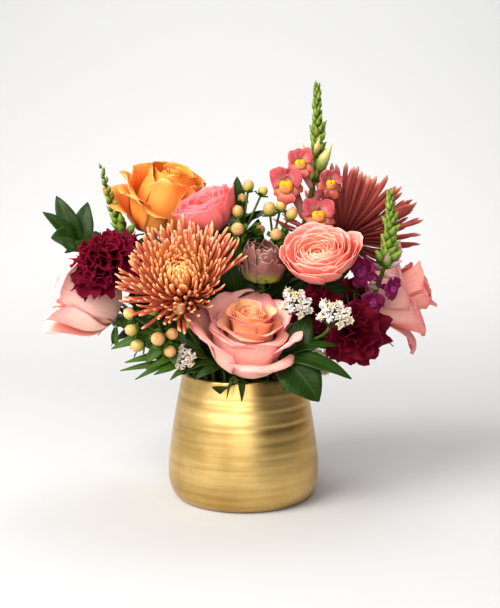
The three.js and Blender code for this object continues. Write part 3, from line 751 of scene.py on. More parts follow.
def wire_spun(bench: Bench, given: Sockets) -> Sockets:
    """Wires spun metal: level streaks of tone and roughness, soft cloudy wear and fine throwing lines.

    Args:
        bench: adds the nodes.
        given: the group's inputs.

    Returns:
        The group's outputs.
    """
    place = bench.place()
    parts = bench.parts(place)
    streak = bench.noise(bench.scaled(parts, METAL_STREAKS), 1.0, 3.0)
    hair = bench.noise(bench.scaled(parts, METAL_HAIRLINES), 1.0)
    cloud = bench.noise(place, METAL_CLOUDS, 4.0)
    share = bench.plus(bench.times(streak, 0.45), bench.times(cloud, 0.55))
    colour = bench.mix(bench.ramp(share, 0.3, 0.7), given["Deep"], given["Bright"])
    change = bench.plus(bench.sway(streak, 0.16), bench.sway(cloud, 0.2))
    height = bench.plus(bench.times(streak, 0.75), bench.times(hair, 0.25))
    return {"Colour": colour, "Roughness": bench.plus(given["Roughness"], change), "Height": height}


# ---- finishes
@dataclass(frozen=True)
class Finish:
    """How a surface looks. Each kind of finish wires its own colour, and shares the rest."""

    name: str
    roughness: float = 0.5
    depth: float = 0.0  # how much light passes into the surface
    bump: float = 0.2
    relief: float = 0.0003  # how high the bump stands, in metres
    shine: float = 0.1  # how strongly it mirrors, against 0.5 for glass

    def pattern(self, bench: Bench) -> Sockets:
        """Wires the colour and the height, and whatever else changes over the surface."""
        raise NotImplementedError

    def settings(self) -> dict[str, object]:
        """Gives the shader's other numbers, the same all over the surface."""
        return {
            "Roughness": self.roughness,
            "Subsurface Weight": self.depth,
            "Subsurface Scale": 0.004,
            "Specular IOR Level": self.shine,
        }

    def material(self) -> bpy.types.Material:
        """Builds the material once, and gives it again when it is asked for again.

        Returns:
            The material.
        """
        if self.name in bpy.data.materials:
            return bpy.data.materials[self.name]
        material = bpy.data.materials.new(self.name)
        material.use_nodes = True
        material.node_tree.nodes.clear()
        bench = Bench(material.node_tree)
        made = self.pattern(bench)
        inputs = self.settings()
        inputs["Base Color"] = made["Colour"]
        if "Roughness" in made:
            inputs["Roughness"] = made["Roughness"]
        bump = {"Strength": self.bump, "Distance": self.relief, "Height": made["Height"]}
        inputs["Normal"] = bench.add("Bump", bump).outputs[0]
        shader = bench.add("BsdfPrincipled", inputs)
        bench.add("OutputMaterial", {0: shader.outputs[0]})
        return material

    def placed(
        self,
        bench: Bench,
        name: str,
        wire: Callable[..., Sockets],
        colours: Sequence[str],
        numbers: Sequence[str],
        outputs: Sequence[str] = ("Colour", "Height"),
    ) -> Sockets:
        """Places a node group with this finish's own values.

        Args:
            bench: where it is placed.
            name: the group's name.
            wire: what builds the group's inside.
            colours: the fields that its colour inputs take.
            numbers: the fields that its other inputs take.
            outputs: what it puts out.

        Returns:
            The group's outputs by name.
        """
        kinds = dict.fromkeys(colours, "Color") | dict.fromkeys(numbers, "Float")
        inputs = [(key.replace("_", " ").title(), kind) for key, kind in kinds.items()]
        made = [(key, "Color" if key == "Colour" else "Float") for key in outputs]
        node = bench.add("Group", node_tree=group_of(name, inputs, made, wire))
        for key, (title, kind) in zip(kinds, inputs):
            value = getattr(self, key)
            node.inputs[title].default_value = opaque(value) if kind == "Color" else value
        return dict(node.outputs.items())


def opaque(colour: Colour) -> tuple[float, float, float, float]:
    """Gives a colour its fourth number."""
    return (*colour, 1.0)


@dataclass(frozen=True)
class PetalFinish(Finish):
    """A petal, with its colours at the heart, over the body, at the foot and along the rim."""

    heart: Colour = (0.8, 0.4, 0.3)
    body: Colour = (0.8, 0.4, 0.3)
    foot: Colour = (0.8, 0.6, 0.4)
    # rim is the edge colour, and a painted highlight on the finishes noted at them
    rim: Colour = (0.8, 0.3, 0.3)
    foot_reach: float = 0.6
    rim_width: float = 0.25
    rim_reach: float = 0.7
    veins: float = 0.1
    roughness: float = 0.6
    depth: float = 0.1

    def pattern(self, bench: Bench) -> Sockets:
        """Places the petal group with this finish's colours."""
        numbers = ("foot_reach", "rim_width", "rim_reach", "veins")
        return self.placed(bench, "petal tint", wire_petal, ("heart", "body", "foot", "rim"), numbers)


@dataclass(frozen=True)
class LeafFinish(Finish):
    """A leaf or a stem, with its blade's colour and its rib's."""

    body: Colour = (0.03, 0.09, 0.02)
    rib: Colour = (0.12, 0.25, 0.06)
    veins: float = 0.6
    roughness: float = 0.38
    depth: float = 0.0
    shine: float = 0.12

    def pattern(self, bench: Bench) -> Sockets:
        """Places the leaf group with this finish's colours."""
        return self.placed(bench, "leaf tint", wire_leaf, ("body", "rib"), ("veins",))


@dataclass(frozen=True)
class BerryFinish(Finish):
    """A berry or a bud, with its colours at the foot, at the tip and on its blushed side."""

    foot: Colour = (0.6, 0.6, 0.2)
    tip: Colour = (0.7, 0.4, 0.15)
    blush: Colour = (0.7, 0.2, 0.1)
    blush_reach: float = 0.5
    roughness: float = 0.3
    depth: float = 0.1
    shine: float = 0.25

    def pattern(self, bench: Bench) -> Sockets:
        """Places the berry group with this finish's colours."""
        return self.placed(bench, "berry tint", wire_turned, ("foot", "tip", "blush"), ("blush_reach",))


@dataclass(frozen=True)
class SpunMetal(Finish):
    """Spun metal, with level streaks between a deep and a bright tone."""

    deep: Colour = (0.5, 0.3, 0.1)
    bright: Colour = (0.8, 0.6, 0.3)
    roughness: float = 0.34

    def pattern(self, bench: Bench) -> Sockets:
        """Places the spun metal group with this finish's tones."""
        outputs = ("Colour", "Roughness", "Height")
        return self.placed(bench, "spun metal", wire_spun, ("deep", "bright"), ("roughness",), outputs)

    def settings(self) -> dict[str, object]:
        """Gives bare metal its numbers."""
        return {"Metallic": 1.0, "Roughness": self.roughness}


@dataclass(frozen=True)
class ClearWater(Finish):
    """Still water with a faint green tint."""

    tint: Colour = (0.86, 0.93, 0.88)

    def pattern(self, bench: Bench) -> Sockets:
        """Wires a tint that hardly changes, and ripples too low to see as waves."""
        cloud = bench.noise(bench.place(), WATER_CLOUDS)
        return {"Colour": bench.mix(cloud, opaque(self.tint), (0.8, 0.9, 0.82, 1.0)), "Height": cloud}

    def settings(self) -> dict[str, object]:
        """Gives water its numbers."""
        return {"Roughness": 0.05, "IOR": 1.33, "Transmission Weight": 1.0}


class Bloomy(Enum):
    """The petal finishes."""

    PEACH = PetalFinish(
        "peach petals", heart=(0.99, 0.47, 0.21), body=(0.96, 0.46, 0.38), foot=(0.99, 0.54, 0.34),
        rim=(0.88, 0.18, 0.25), rim_reach=0.9, rim_width=0.12, foot_reach=0.5, veins=0.1,
    )
    PALE_PEACH = PetalFinish(
        "pale peach petals", heart=(0.95, 0.42, 0.32), body=(0.96, 0.52, 0.45), foot=(0.97, 0.6, 0.48),
        rim=(0.84, 0.18, 0.24), rim_reach=0.75, rim_width=0.1, veins=0.14,
    )
    BLUSH = PetalFinish(
        "blush petals", heart=(0.95, 0.34, 0.24), body=(0.94, 0.42, 0.37), foot=(0.97, 0.5, 0.32),
        rim=(0.8, 0.13, 0.19), rim_reach=0.8, rim_width=0.16, veins=0.16,
    )
    ORANGE = PetalFinish(
        "orange petals", heart=(0.8, 0.24, 0.03), body=(0.82, 0.27, 0.05), foot=(0.74, 0.13, 0.005),
        rim=(0.9, 0.44, 0.16), rim_reach=0.6, rim_width=0.14, foot_reach=0.9, veins=0.1,
    )
    CORAL = PetalFinish(
        "coral petals", heart=(0.8, 0.14, 0.13), body=(0.92, 0.2, 0.2), foot=(0.9, 0.16, 0.16),
        rim=(0.8, 0.13, 0.16), rim_reach=0.6, rim_width=0.1, veins=0.3,
    )
    # coral with a peach heart of its own; its pale rim is a painted highlight, which lit in its name stands
    # for
    CORAL_LIT = PetalFinish(
        "lit coral petals", heart=(0.98, 0.46, 0.24), body=(0.95, 0.25, 0.21), foot=(0.9, 0.15, 0.12),
        rim=(0.98, 0.4, 0.3), rim_reach=0.7, rim_width=0.1, veins=0.3,
    )
    MAUVE = PetalFinish(
        "mauve bud petals", heart=(0.08, 0.01, 0.02), body=(0.2, 0.075, 0.065), foot=(0.3, 0.42, 0.04),
        rim=(0.52, 0.34, 0.26), rim_reach=0.6, rim_width=0.09, foot_reach=1.5, veins=0.4,
    )
    # the brighter crimson rim is a painted highlight on the dark petals
    BURGUNDY = PetalFinish(
        "burgundy petals", heart=(0.075, 0.0005, 0.005), body=(0.085, 0.0005, 0.009),
        foot=(0.02, 0.0002, 0.002), rim=(0.2, 0.004, 0.03), rim_reach=0.6, rim_width=0.14, foot_reach=0.85,
        veins=0.3, shine=0.05,
    )
    PINK = PetalFinish(
        "snapdragon petals", heart=(0.88, 0.36, 0.01), body=(0.38, 0.055, 0.07), foot=(0.6, 0.34, 0.26),
        rim=(0.58, 0.17, 0.15), rim_reach=0.7, rim_width=0.2, foot_reach=0.9, veins=0.45,
    )
    # the paler mauve rim is a painted highlight along the edges
    PLUM = PetalFinish(
        "plum snapdragon petals", heart=(0.2, 0.015, 0.09), body=(0.11, 0.001, 0.03),
        foot=(0.26, 0.05, 0.14), rim=(0.34, 0.05, 0.18), rim_reach=0.6, rim_width=0.24, veins=0.24,
    )
    BRONZE = PetalFinish(
        "bronze rays", heart=(0.88, 0.38, 0.1), body=(0.49, 0.09, 0.055), foot=(0.24, 0.02, 0.015),
        rim=(0.93, 0.48, 0.22), rim_reach=0.85, rim_width=0.3, foot_reach=0.95, veins=0.1,
    )
    RUST = PetalFinish(
        "rust rays", heart=(0.4, 0.09, 0.07), body=(0.31, 0.055, 0.045), foot=(0.14, 0.012, 0.012),
        rim=(0.74, 0.36, 0.24), rim_reach=0.75, rim_width=0.22, foot_reach=0.8, veins=0.3,
    )
    # the cups are white: their mauve-grey body is painted shade, while the yellow heart and the near-white
    # rim are their own colours
    WHITE = PetalFinish(
        "statice cups", heart=(0.8, 0.56, 0.04), body=(0.66, 0.57, 0.52), foot=(0.3, 0.28, 0.14),
        rim=(0.82, 0.76, 0.74), rim_reach=0.7, rim_width=0.3, veins=0.12,
    )


class Green(Enum):
    """The finishes of stems, leaves, buds and berries."""

    STEM = LeafFinish("stems", body=(0.05, 0.076, 0.008), rib=(0.1, 0.14, 0.02), veins=0.2, roughness=0.5)
    LEAF = LeafFinish(
        "dark leaves", body=(0.01, 0.029, 0.002), rib=(0.045, 0.1, 0.01), veins=0.4, roughness=0.4
    )
    FRESH_LEAF = LeafFinish("fresh leaves", body=(0.027, 0.07, 0.004), rib=(0.09, 0.17, 0.02), roughness=0.45)
    BUD = BerryFinish(
        "snapdragon buds", foot=(0.03, 0.07, 0.005), tip=(0.2, 0.28, 0.03), blush=(0.08, 0.15, 0.01),
        roughness=0.5,
    )
    PALE_BUD = BerryFinish(
        "pale snapdragon buds", foot=(0.3, 0.38, 0.07), tip=(0.62, 0.52, 0.22), blush=(0.56, 0.2, 0.16),
        blush_reach=0.4, roughness=0.5,
    )
    MAUVE_BUD = BerryFinish(
        "mauve snapdragon buds", foot=(0.26, 0.28, 0.1), tip=(0.42, 0.2, 0.32), blush=(0.16, 0.01, 0.09),
        blush_reach=0.8, roughness=0.45,
    )
    BERRY = BerryFinish(
        "hypericum berries", foot=(0.3, 0.34, 0.04), tip=(0.64, 0.35, 0.14), blush=(0.62, 0.19, 0.08),
        blush_reach=0.75,
    )


GOLD = SpunMetal("spun gold", deep=(0.46, 0.28, 0.075), bright=(0.76, 0.53, 0.2), bump=0.04)
WATER = ClearWater("clear water", bump=0.05, relief=0.0002)


# ---- petals
@dataclass
class Petal:
    """One petal about its bloom's axis. Lengths are millimetres and angles are degrees.

    leans are its angles from level at the foot, half way and at the tip: 90 stands up, 180 turns in.
    """

    turn: float
    length: float
    leans: Leans
    span: float  # half its width, about the axis
    foot: float = 2.0
    base: float = 1.2
    wrap: float = 0.0  # how far one edge tucks behind its neighbour
    round: float = 0.12  # how much shorter its sides are than its middle
    wave: float = 0.0
    waves: float = 2.0
    roll: float = 0.0  # how far the rim rolls outwards
    shoulder: float = 0.0  # how far its two shoulders fold outwards
    point: float = 0.0  # how far the middle of the rim runs out into a point
    fringe: float = 0.0  # how deep the rim is cut into teeth
    teeth: int = 9
    crumple: float = 0.0
    ripple: float = 0.0  # how far the rim's small ripples stand out
    seed: float = 0.0

    def lean_at(self, t: Array) -> Array:
        """Gives the lean in radians at a share of its length."""
        lean = np.interp(t, (0.0, 0.5, 1.0), self.leans)
        return np.radians(lean - self.roll * smooth(t, ROLL_START, 1.0))

    def surface(self, u: Array, v: Array) -> Array:
        """Shapes the petal.

        Args:
            u: how far across, -1 to 1, for each point.
            v: how far along, 0 to 1, for each point.

        Returns:
            The points in the bloom's own frame.
        """
        lean = self.lean_at((np.arange(PETAL_STEPS) + 0.5) / PETAL_STEPS)
        step = self.length / PETAL_STEPS
        r_line = self.foot + np.concatenate(((0,), np.cumsum(np.cos(lean)) * step))
        z_line = self.base + np.concatenate(((0,), np.cumsum(np.sin(lean)) * step))
        knots = np.linspace(0, 1, PETAL_STEPS + 1)
        side = np.abs(u)
        cut = self.fringe * (0.5 - np.abs((u * self.teeth * 0.5 + draw(self.seed)) % 1.0 - 0.5)) * 2 * v**3
        full = 1 - (1 - v) ** 1.3  # closer rows towards the rim, which bends the most
        share = full * (1 - self.round * side**2.5 + self.point * (1 - side) ** 2 * v**4) - cut
        phase = draw(self.seed + 3) * math.tau
        ripples = np.sin(9 * u + phase * 2) + np.sin(15 * u + phase)
        share = np.clip(share - self.ripple * RIPPLE_CUT * ripples * v**3, 0.0, 1.0)
        r, z = np.interp(share, knots, r_line), np.interp(share, knots, z_line)
        lean = self.lean_at(share)
        behind = self.wrap * u * np.minimum(1, v * 3)
        behind += self.wave * v * v * np.sin(u * self.waves * math.pi + phase)
        behind += self.shoulder * side**2.2 * v * v
        bend = np.sin(3.1 * u + phase) * np.sin(4.3 * v + phase * 2) + 0.5 * np.sin(7 * u + 5 * v + phase)
        behind += self.crumple * bend * v + self.ripple * np.sin(11 * u + phase) * v**6
        out = np.maximum(r + behind * np.sin(lean), 0.3)
        half = math.radians(self.span) * (0.42 + 0.58 * np.sin(math.pi / 2 * np.minimum(1, v * 1.5)))
        angle = math.radians(self.turn) + u * half
        return np.column_stack((out * np.cos(angle), out * np.sin(angle), z - behind * np.cos(lean)))


Placed = list[tuple[float, Petal]]  # how far out each petal stands, and the petal


def spiral(
    count: int, shape: Callable[[float], dict[str, object]], first: float, seed: float, uneven: float = 0.0
) -> Placed:
    """Sets petals in a spiral from the heart outwards.

    Args:
        count: how many petals there are.
        shape: gives a petal's settings from how far out it stands, 0 to 1.
        first: the turn of the innermost petal.
        seed: what their small differences are made from.
        uneven: how much their lengths differ, as a share.

    Returns:
        How far out each petal stands, and the petal.
    """
    petals = []
    for k in range(count):
        out = k / (count - 1)
        own = seed + k * 1.7
        turn = first + k * GOLDEN_ANGLE + around(own, 7)
        petal = Petal(turn=turn, seed=own, **shape(out))
        petal.length *= 1 + around(own + 5, uneven * min(1.0, out * 2))
        petal.leans = strayed(petal.leans, own, uneven * 60)
        petals.append((out, petal))
    return petals


# ---- stems and leaves
def stem_line(mouth: Mouth, end: Numbers, toward: Numbers) -> Array:
    """Draws a stem's line: straight through the water to its place in the mouth, then a bend to its end.

    Args:
        mouth: its place in the mouth.
        end: where it ends.
        toward: the way that it runs at its end.

    Returns:
        The line's points, from the cut end up.
    """
    cut = np.array((mouth[0] * STEM_SPREAD, mouth[1] * STEM_SPREAD, STEM_END))
    lip = np.array((*mouth, POT_HEIGHT + LIP_GAP))
    tip = np.asarray(end, float)
    rise = np.linalg.norm(tip - lip)
    knots = (lip, lip + unit(lip - cut) * rise * 0.42, tip - unit(toward) * rise * 0.32, tip)
    return np.vstack((cut, (cut * 2 + lip) / 3, (cut + lip * 2) / 3, bezier(knots, 14)))


@dataclass
class Leaf:
    """A leaf from its foot to its tip, folded along its rib. face is the way its upper side looks."""

    foot: Numbers
    tip: Numbers
    width: float
    face: Numbers
    arch: float = 0.1
    fold: float = 0.16
    seed: float = 0.0
    cells: Cells = (6, 12)

    def surface(self, u: Array, v: Array) -> Array:
        """Shapes the leaf.

        Args:
            u: how far across, -1 to 1, for each point.
            v: how far along, 0 to 1, for each point.

        Returns:
            The points.
        """
        start = np.asarray(self.foot, float)
        along = np.asarray(self.tip, float) - start
        length = float(np.linalg.norm(along))
        along = along / length
        face = np.asarray(self.face, float)
        up = unit(face - along * face.dot(along))
        side = np.cross(along, up)
        half = np.maximum(self.width / 2 * np.sin(math.pi * v**0.8) ** 0.75, 0.35)
        phase = draw(self.seed) * math.tau
        ripple = 0.035 * self.width * np.sin(v * 15 + phase) * np.abs(u)
        sway = around(self.seed + 1, 0.05) * length * np.sin(math.pi * v)
        lift = self.arch * length * np.sin(math.pi * v) + self.fold * np.abs(u) * half + ripple
        return start + np.outer(v * length, along) + np.outer(-u * half + sway, side) + np.outer(lift, up)

    def add_to(self, draft: Draft) -> None:
        """Adds the leaf to a draft."""
        draft.sheet_of(self.surface, self.cells, seed=self.seed)


def leaves_along(line: Array, count: int, seed: float, start: float, size: float) -> list[Leaf]:
    """Sets leaves up a stem, each turned from the last by the golden angle.

    Args:
        line: the stem's line.
        count: how many leaves there are.
        seed: what their small differences are made from.
        start: where along the line the lowest one grows, as a share.
        size: their length.

    Returns:
        The leaves.
    """
    leaves = []
    for k in range(count):
        at = lerp(start, 0.9, k / max(count - 1, 1)) * (len(line) - 1)
        foot = line[int(at)]
        along = unit(line[min(int(at) + 1, len(line) - 1)] - line[int(at) - 1])
        turn = math.radians(k * GOLDEN_ANGLE + draw(seed + k) * 90)
        out = unit(np.cross(along, (math.cos(turn), math.sin(turn), 0.17)))
        toward = unit(out * 0.9 + along * 0.55)
        length = size * (0.8 + 0.5 * draw(seed + k + 40))
        face = along - toward * along.dot(toward)
        leaves.append(Leaf(foot, foot + toward * length, length * 0.42, face, seed=seed + k))
    return leaves


def make_leaves(name: str, leaves: Sequence[Leaf], finish: Finish, nodes: Sequence[str] = ()) -> None:
    """Makes one piece of several leaves.

    Args:
        name: the piece's name.
        leaves: the leaves.
        finish: how they look.
        nodes: the plain solids that they stand for.
    """
    draft = Draft()
    for leaf in leaves:
        leaf.add_to(draft)
    draft.finish(name, "leaf", finish, nodes, LEAF_THICKNESS)


# ---- blooms
@dataclass
class Bloom:
    """A single bloom on its stem. Its frame's +Z is the way it faces."""

    name: str
    foot: Spot
    toward: Spot
    mouth: Mouth
    finish: Finish
    slot: str
    stem: float = 2.2
    hip: float = 4.0
    sepals: int = 5
    leaves: int = 9
    drape: list[Leaf] = field(default_factory=list)  # leaves that hang from under the bloom
    cells: Cells = (10, 12)  # how finely a petal is modelled, across and along
    seed: float = 0.0

    @property
    def place(self) -> Array:
        """Gives the matrix that carries the bloom to its place."""
        return frame_at(self.foot, self.toward)

    def below(self, depth: float) -> Array:
        """Gives the spot at a depth behind the bloom's foot."""
        return carry(np.array(((0.0, 0.0, -depth),)), self.place)[0]

    def petals(self) -> Placed:
        """Gives how far out each petal stands, and the petal."""
        raise NotImplementedError

    def make_head(self) -> None:
        """Makes the petals as one piece, with the small heart that they grow out of."""
        draft = Draft()
        for out, petal in self.petals():
            draft.sheet_of(petal.surface, self.cells, self.place, out, petal.seed)
        draft.finish(f"{self.name}_petals", self.slot, self.finish, [self.name], PETAL_THICKNESS)

    def make_stem(self) -> None:
        """Makes the stem, the hip that it swells into, and the sepals round it."""
        draft = Draft()
        line = stem_line(self.mouth, self.below(self.hip * 2.4), self.toward)
        swell = np.array([self.below(self.hip * depth) for depth in HIP_DEPTHS])
        radii = np.concatenate((np.full(len(line), self.stem), self.hip * np.array(HIP_WIDTHS)))
        draft.tube(np.vstack((line, swell)), radii, 10, seed=self.seed)
        draft.finish(f"{self.name}_stalk", "stem", Green.STEM.value, [f"{self.name}_stem"])
        if self.sepals:
            self.make_sepals()
        if self.leaves:
            blades = leaves_along(line, self.leaves, self.seed + 9, 0.22, 28)
            make_leaves(f"{self.name}_leaves", blades + self.drape, Green.LEAF.value)

    def make_sepals(self) -> None:
        """Makes the sepals, which fold back from the hip."""
        draft = Draft()
        for k in range(self.sepals):
            sepal = Petal(
                turn=360 * k / self.sepals + 14, foot=self.hip * 0.5, base=-self.hip * 1.1,
                length=self.hip * (4.4 + around(k + self.seed, 0.8)),
                leans=(20, -30 + around(k, 12), -60),
                span=20, round=0.5, point=0.3, wave=0.8, seed=self.seed + k,
            )
            draft.sheet_of(sepal.surface, (4, 9), self.place, 1.0, sepal.seed)
        draft.finish(f"{self.name}_sepals", "stem", Green.FRESH_LEAF.value, (), LEAF_THICKNESS)

    def make(self) -> None:
        """Makes the whole bloom."""
        self.make_head()
        self.make_stem()


@dataclass
class Whorl:
    """A round of a rose's petals at one distance from its heart.

    Lengths and feet are shares of the rose's radius.
    """

    count: int
    length: float
    leans: Leans
    span: float
    foot: float
    roll: float
    shoulder: float = 2.0
    point: float = 0.1
    ring: float = 0.5

    def petals(self, radius: float, first: float, seed: float) -> Placed:
        """Sets the round's petals evenly, each a little different from the next.

        Args:
            radius: the rose's radius.
            first: the turn of the first petal.
            seed: what their small differences are made from.

        Returns:
            How far out each petal stands, and the petal.
        """
        made = []
        for k in range(self.count):
            own = seed + k * 2.3
            petal = Petal(
                turn=first + k * 360 / self.count + around(own + 7, 9),
                length=radius * self.length * (1 + around(own + 8, 0.05)),
                leans=strayed(self.leans, own, 5),
                span=self.span, foot=radius * self.foot, wrap=2.0,
                roll=self.roll * (1 + around(own + 9, 0.3)),
                shoulder=self.shoulder * (1 + around(own + 10, 0.4)),
                point=self.point, wave=0.9, crumple=0.7, ripple=0.7, seed=own,
            )
            made.append((self.ring, petal))
        return made


OPEN_ROSE = (
    Whorl(4, 0.86, (74, 92, 90), 100, 0.07, 34, shoulder=0.6, ring=0.12),
    Whorl(5, 0.95, (64, 91, 86), 82, 0.1, 52, shoulder=1.2, ring=0.25),
    Whorl(5, 1.03, (52, 89, 83), 70, 0.13, 74, shoulder=2.0, ring=0.45),
    Whorl(5, 1.1, (40, 86, 78), 62, 0.16, 90, shoulder=3.0, ring=0.7),
)
SIDE_ROSE = (
    Whorl(5, 1.3, (62, 92, 92), 76, 0.1, 34, ring=0.3),
    Whorl(5, 1.38, (44, 88, 90), 66, 0.12, 44, ring=0.55),
    Whorl(5, 1.46, (28, 84, 86), 62, 0.12, 60, ring=0.85),
)


@dataclass
class Rose(Bloom):
    """A rose: a wound heart, rounds of petals that roll back at the rim, and open outer petals."""

    radius: float = 40.0
    tall: float = 0.8  # the heart's height as a share of the radius
    whorls: tuple[Whorl, ...] = OPEN_ROSE
    outer: list[Petal] = field(default_factory=list)
    first: float = 20.0
    cells: Cells = (12, 16)
    stem: float = 3.0

    def petals(self) -> Placed:
        """Winds the heart, sets the rounds, then adds the outer petals.

        Returns:
            How far out each petal stands, and the petal.
        """

        def shape(out: float) -> dict[str, object]:
            """Opens a heart petal by how far out it stands."""
            return dict(
                length=self.radius * self.tall * lerp(0.9, 1.02, out),
                leans=(lerp(86, 73, out), 92, lerp(104, 97, out)), span=lerp(140, 92, out),
                foot=lerp(0.6, self.radius * 0.07, out), wrap=lerp(1.0, 1.8, out),
                roll=lerp(4, 22, out), round=0.08, crumple=0.3,
            )

        made = [(out * 0.1, petal) for out, petal in spiral(8, shape, self.first, self.seed)]
        for k, whorl in enumerate(self.whorls):
            made += whorl.petals(self.radius, self.first + k * 35, self.seed + 40 * k)
        return made + [(1.0, petal) for petal in self.outer]


def cup(
    turns: Numbers, length: float, leans: Sequence[Leans], seed: float, **more: float
) -> list[Petal]:
    """Gives the outer petals of a rose that is seen from its side: a deep cup.

    Args:
        turns: each petal's turn.
        length: their length.
        leans: their leans, by turns.
        seed: what their small differences are made from.
        **more: settings that differ from the usual ones.

    Returns:
        The petals.
    """
    shared = {"wrap": 1.6, "roll": 60.0, "shoulder": 3.5, "round": 0.14, "point": 0.1, "crumple": 0.9, **more}
    return [
        Petal(turn, length, leans[k % len(leans)], 50, seed=seed + k, **shared)
        for k, turn in enumerate(turns)
    ]


@dataclass
class Ranunculus(Bloom):
    """A ranunculus: many thin petals, cupped round a small eye. close is how far the cup shuts."""

    radius: float = 30.0
    close: float = 0.0
    count: int = 64
    ruffle: float = 0.5
    ragged: float = 0.0  # how deep its rims are torn
    short: float = 0.0  # how much shorter its outermost petals are
    uneven: float = 0.07
    cells: Cells = (8, 9)
    stem: float = 2.0
    hip: float = 3.0
    sepals: int = 0

    def petals(self) -> Placed:
        """Sets the petals in a spiral, each a little wider and more open than the one inside it.

        Returns:
            How far out each petal stands, and the petal.
        """

        def shape(out: float) -> dict[str, object]:
            """Opens a petal by how far out it stands.

            Args:
                out: how far out, from 0 to 1.

            Returns:
                The petal's settings.
            """
            far = lerp(0.05, 1.0, out**0.8)
            kept = 1 - self.short * float(smooth(out, 0.5, 1.0))
            middle, tip = lerp(106, 44 + self.close * 20, far), lerp(166, 84 + self.close * 24, far)
            return dict(
                length=self.radius * lerp(0.55, 1.4, far) * kept, leans=(lerp(78, 2, far), middle, tip),
                span=lerp(88, 36, far**0.6), foot=lerp(0.6, 3.0 + 7 * self.short, far), wrap=1.3,
                roll=lerp(0, 20, far), wave=self.ruffle * far, waves=1.6, round=0.2, crumple=0.4,
                ripple=0.5 * far, fringe=self.ragged, teeth=5,
            )

        return spiral(self.count, shape, 10.0, self.seed, self.uneven)


@dataclass
class Carnation(Bloom):
    """A carnation: fans of petals with a waved and toothed edge."""

    radius: float = 27.0
    count: int = 40
    cells: Cells = (18, 8)
    stem: float = 1.8
    hip: float = 4.5
    sepals: int = 0

    def petals(self) -> Placed:
        """Sets the fans in a dome.

        Returns:
            How far out each petal stands, and the petal.
        """

        def shape(out: float) -> dict[str, object]:
            """Opens a fan by how far out it stands."""
            lean = lerp(94, -12, out**0.85)
            return dict(
                length=self.radius * lerp(0.9, 1.12, out), leans=(lean * 0.8 + 22, lean, lean - 16),
                span=lerp(60, 32, out), foot=lerp(0.5, 3.0, out), wave=self.radius * 0.14, waves=2.4,
                fringe=0.16, teeth=11, round=0.14, crumple=1.5, ripple=1.0,
            )

        return spiral(self.count, shape, 0.0, self.seed, uneven=0.14)


@dataclass
class LooseBloom(Bloom):
    """A loose dark bloom of broad waved petals."""

    radius: float = 24.0
    count: int = 22
    cells: Cells = (14, 10)
    stem: float = 1.7
    hip: float = 3.0
    sepals: int = 0

    def petals(self) -> Placed:
        """Sets broad petals that open and fall back.

        Returns:
            How far out each petal stands, and the petal.
        """

        def shape(out: float) -> dict[str, object]:
            """Opens a petal by how far out it stands."""
            return dict(
                length=self.radius * lerp(0.75, 1.2, out),
                leans=(lerp(76, 34, out), lerp(72, 16, out), lerp(58, -30, out)), span=lerp(58, 32, out),
                wave=3.4, waves=2.2, round=0.26, shoulder=1.5 * out, fringe=0.06, crumple=2.0, ripple=1.2,
            )

        return spiral(self.count, shape, 0.0, self.seed, uneven=0.14)


@dataclass
class Chrysanthemum(Bloom):
    """A spider chrysanthemum: rays from a dome, short and curled in at the heart and long outside.

    keep_out holds balls, as x, y, z and reach, that a ray is shortened to stay clear of.
    """

    radius: float = 54.0
    rays: int = 230
    inner: Leans = (82, 100, 150)
    outer: Leans = (8, 22, 30)
    quill: float = 1.15
    flat: float = 0.6
    loose: float = 0.6  # how far its rays stray from their places
    taper: tuple[float, ...] = (0.55, 0.75, 0.9, 1.0, 1.0, 1.0, 1.05, 1.0, 0.4)
    keep_out: list[Ball] = field(default_factory=list)
    stem: float = 2.4
    hip: float = 5.0
    sepals: int = 9

    def ray(self, k: int) -> tuple[float, Array, Array] | None:
        """Draws a ray's line.

        Args:
            k: which ray it is, from the heart outwards.

        Returns:
            How far out it stands, its points and the way its width lies, or nothing where there is no room.
        """
        out = (k + 0.5) / self.rays
        turn = math.radians(k * GOLDEN_ANGLE + around(k, 5 * self.loose))
        leans = tuple(lerp(lean, end, out**0.75) for lean, end in zip(self.inner, self.outer))
        leans = strayed(leans, k * 3 + 70, 9 * self.loose)
        full = self.radius * lerp(0.3, 0.98, out**0.72) * (1 + around(k + 300, 0.08))
        foot, base = self.radius * 0.15 * out**0.6, self.radius * lerp(0.18, 0.04, out)
        along = np.linspace(0, 1, RAY_STEPS)
        swing = turn + around(k + 500, 0.22 * self.loose) * along**2
        for share in RAY_CUTS:
            path = Petal(0, full * share, leans, 0, foot=foot, base=base)
            reach, _, height = path.surface(np.zeros(RAY_STEPS), along).T
            line = np.column_stack((reach * np.cos(swing), reach * np.sin(swing), height))
            line = carry(line, self.place)
            tips = line[RAY_STEPS // 2 :]
            if all((np.linalg.norm(tips - ball[:3], axis=1) > ball[3]).all() for ball in self.keep_out):
                return out, line, self.place[:3, :3] @ (-math.sin(turn), math.cos(turn), 0.0)
        return None

    def make_head(self) -> None:
        """Makes the rays, and the small dome that they grow out of."""
        draft = Draft()
        widths = np.array(self.taper) * self.quill
        for k in range(self.rays):
            made = self.ray(k)
            if made:
                out, line, across = made
                draft.tube(line, widths, 6, self.flat, out, k + self.seed, across)
        draft.stamp(berry_template(), self.place, self.radius * np.array((0.17, 0.17, 0.12)))
        draft.finish(f"{self.name}_rays", self.slot, self.finish, [self.name])


# ---- snapdragons
@dataclass
class Flower:
    """An open snapdragon flower: where its tube leaves the spike, the middle of its face, and its width."""

    root: Spot
    face: Spot
    toward: Spot
    size: float


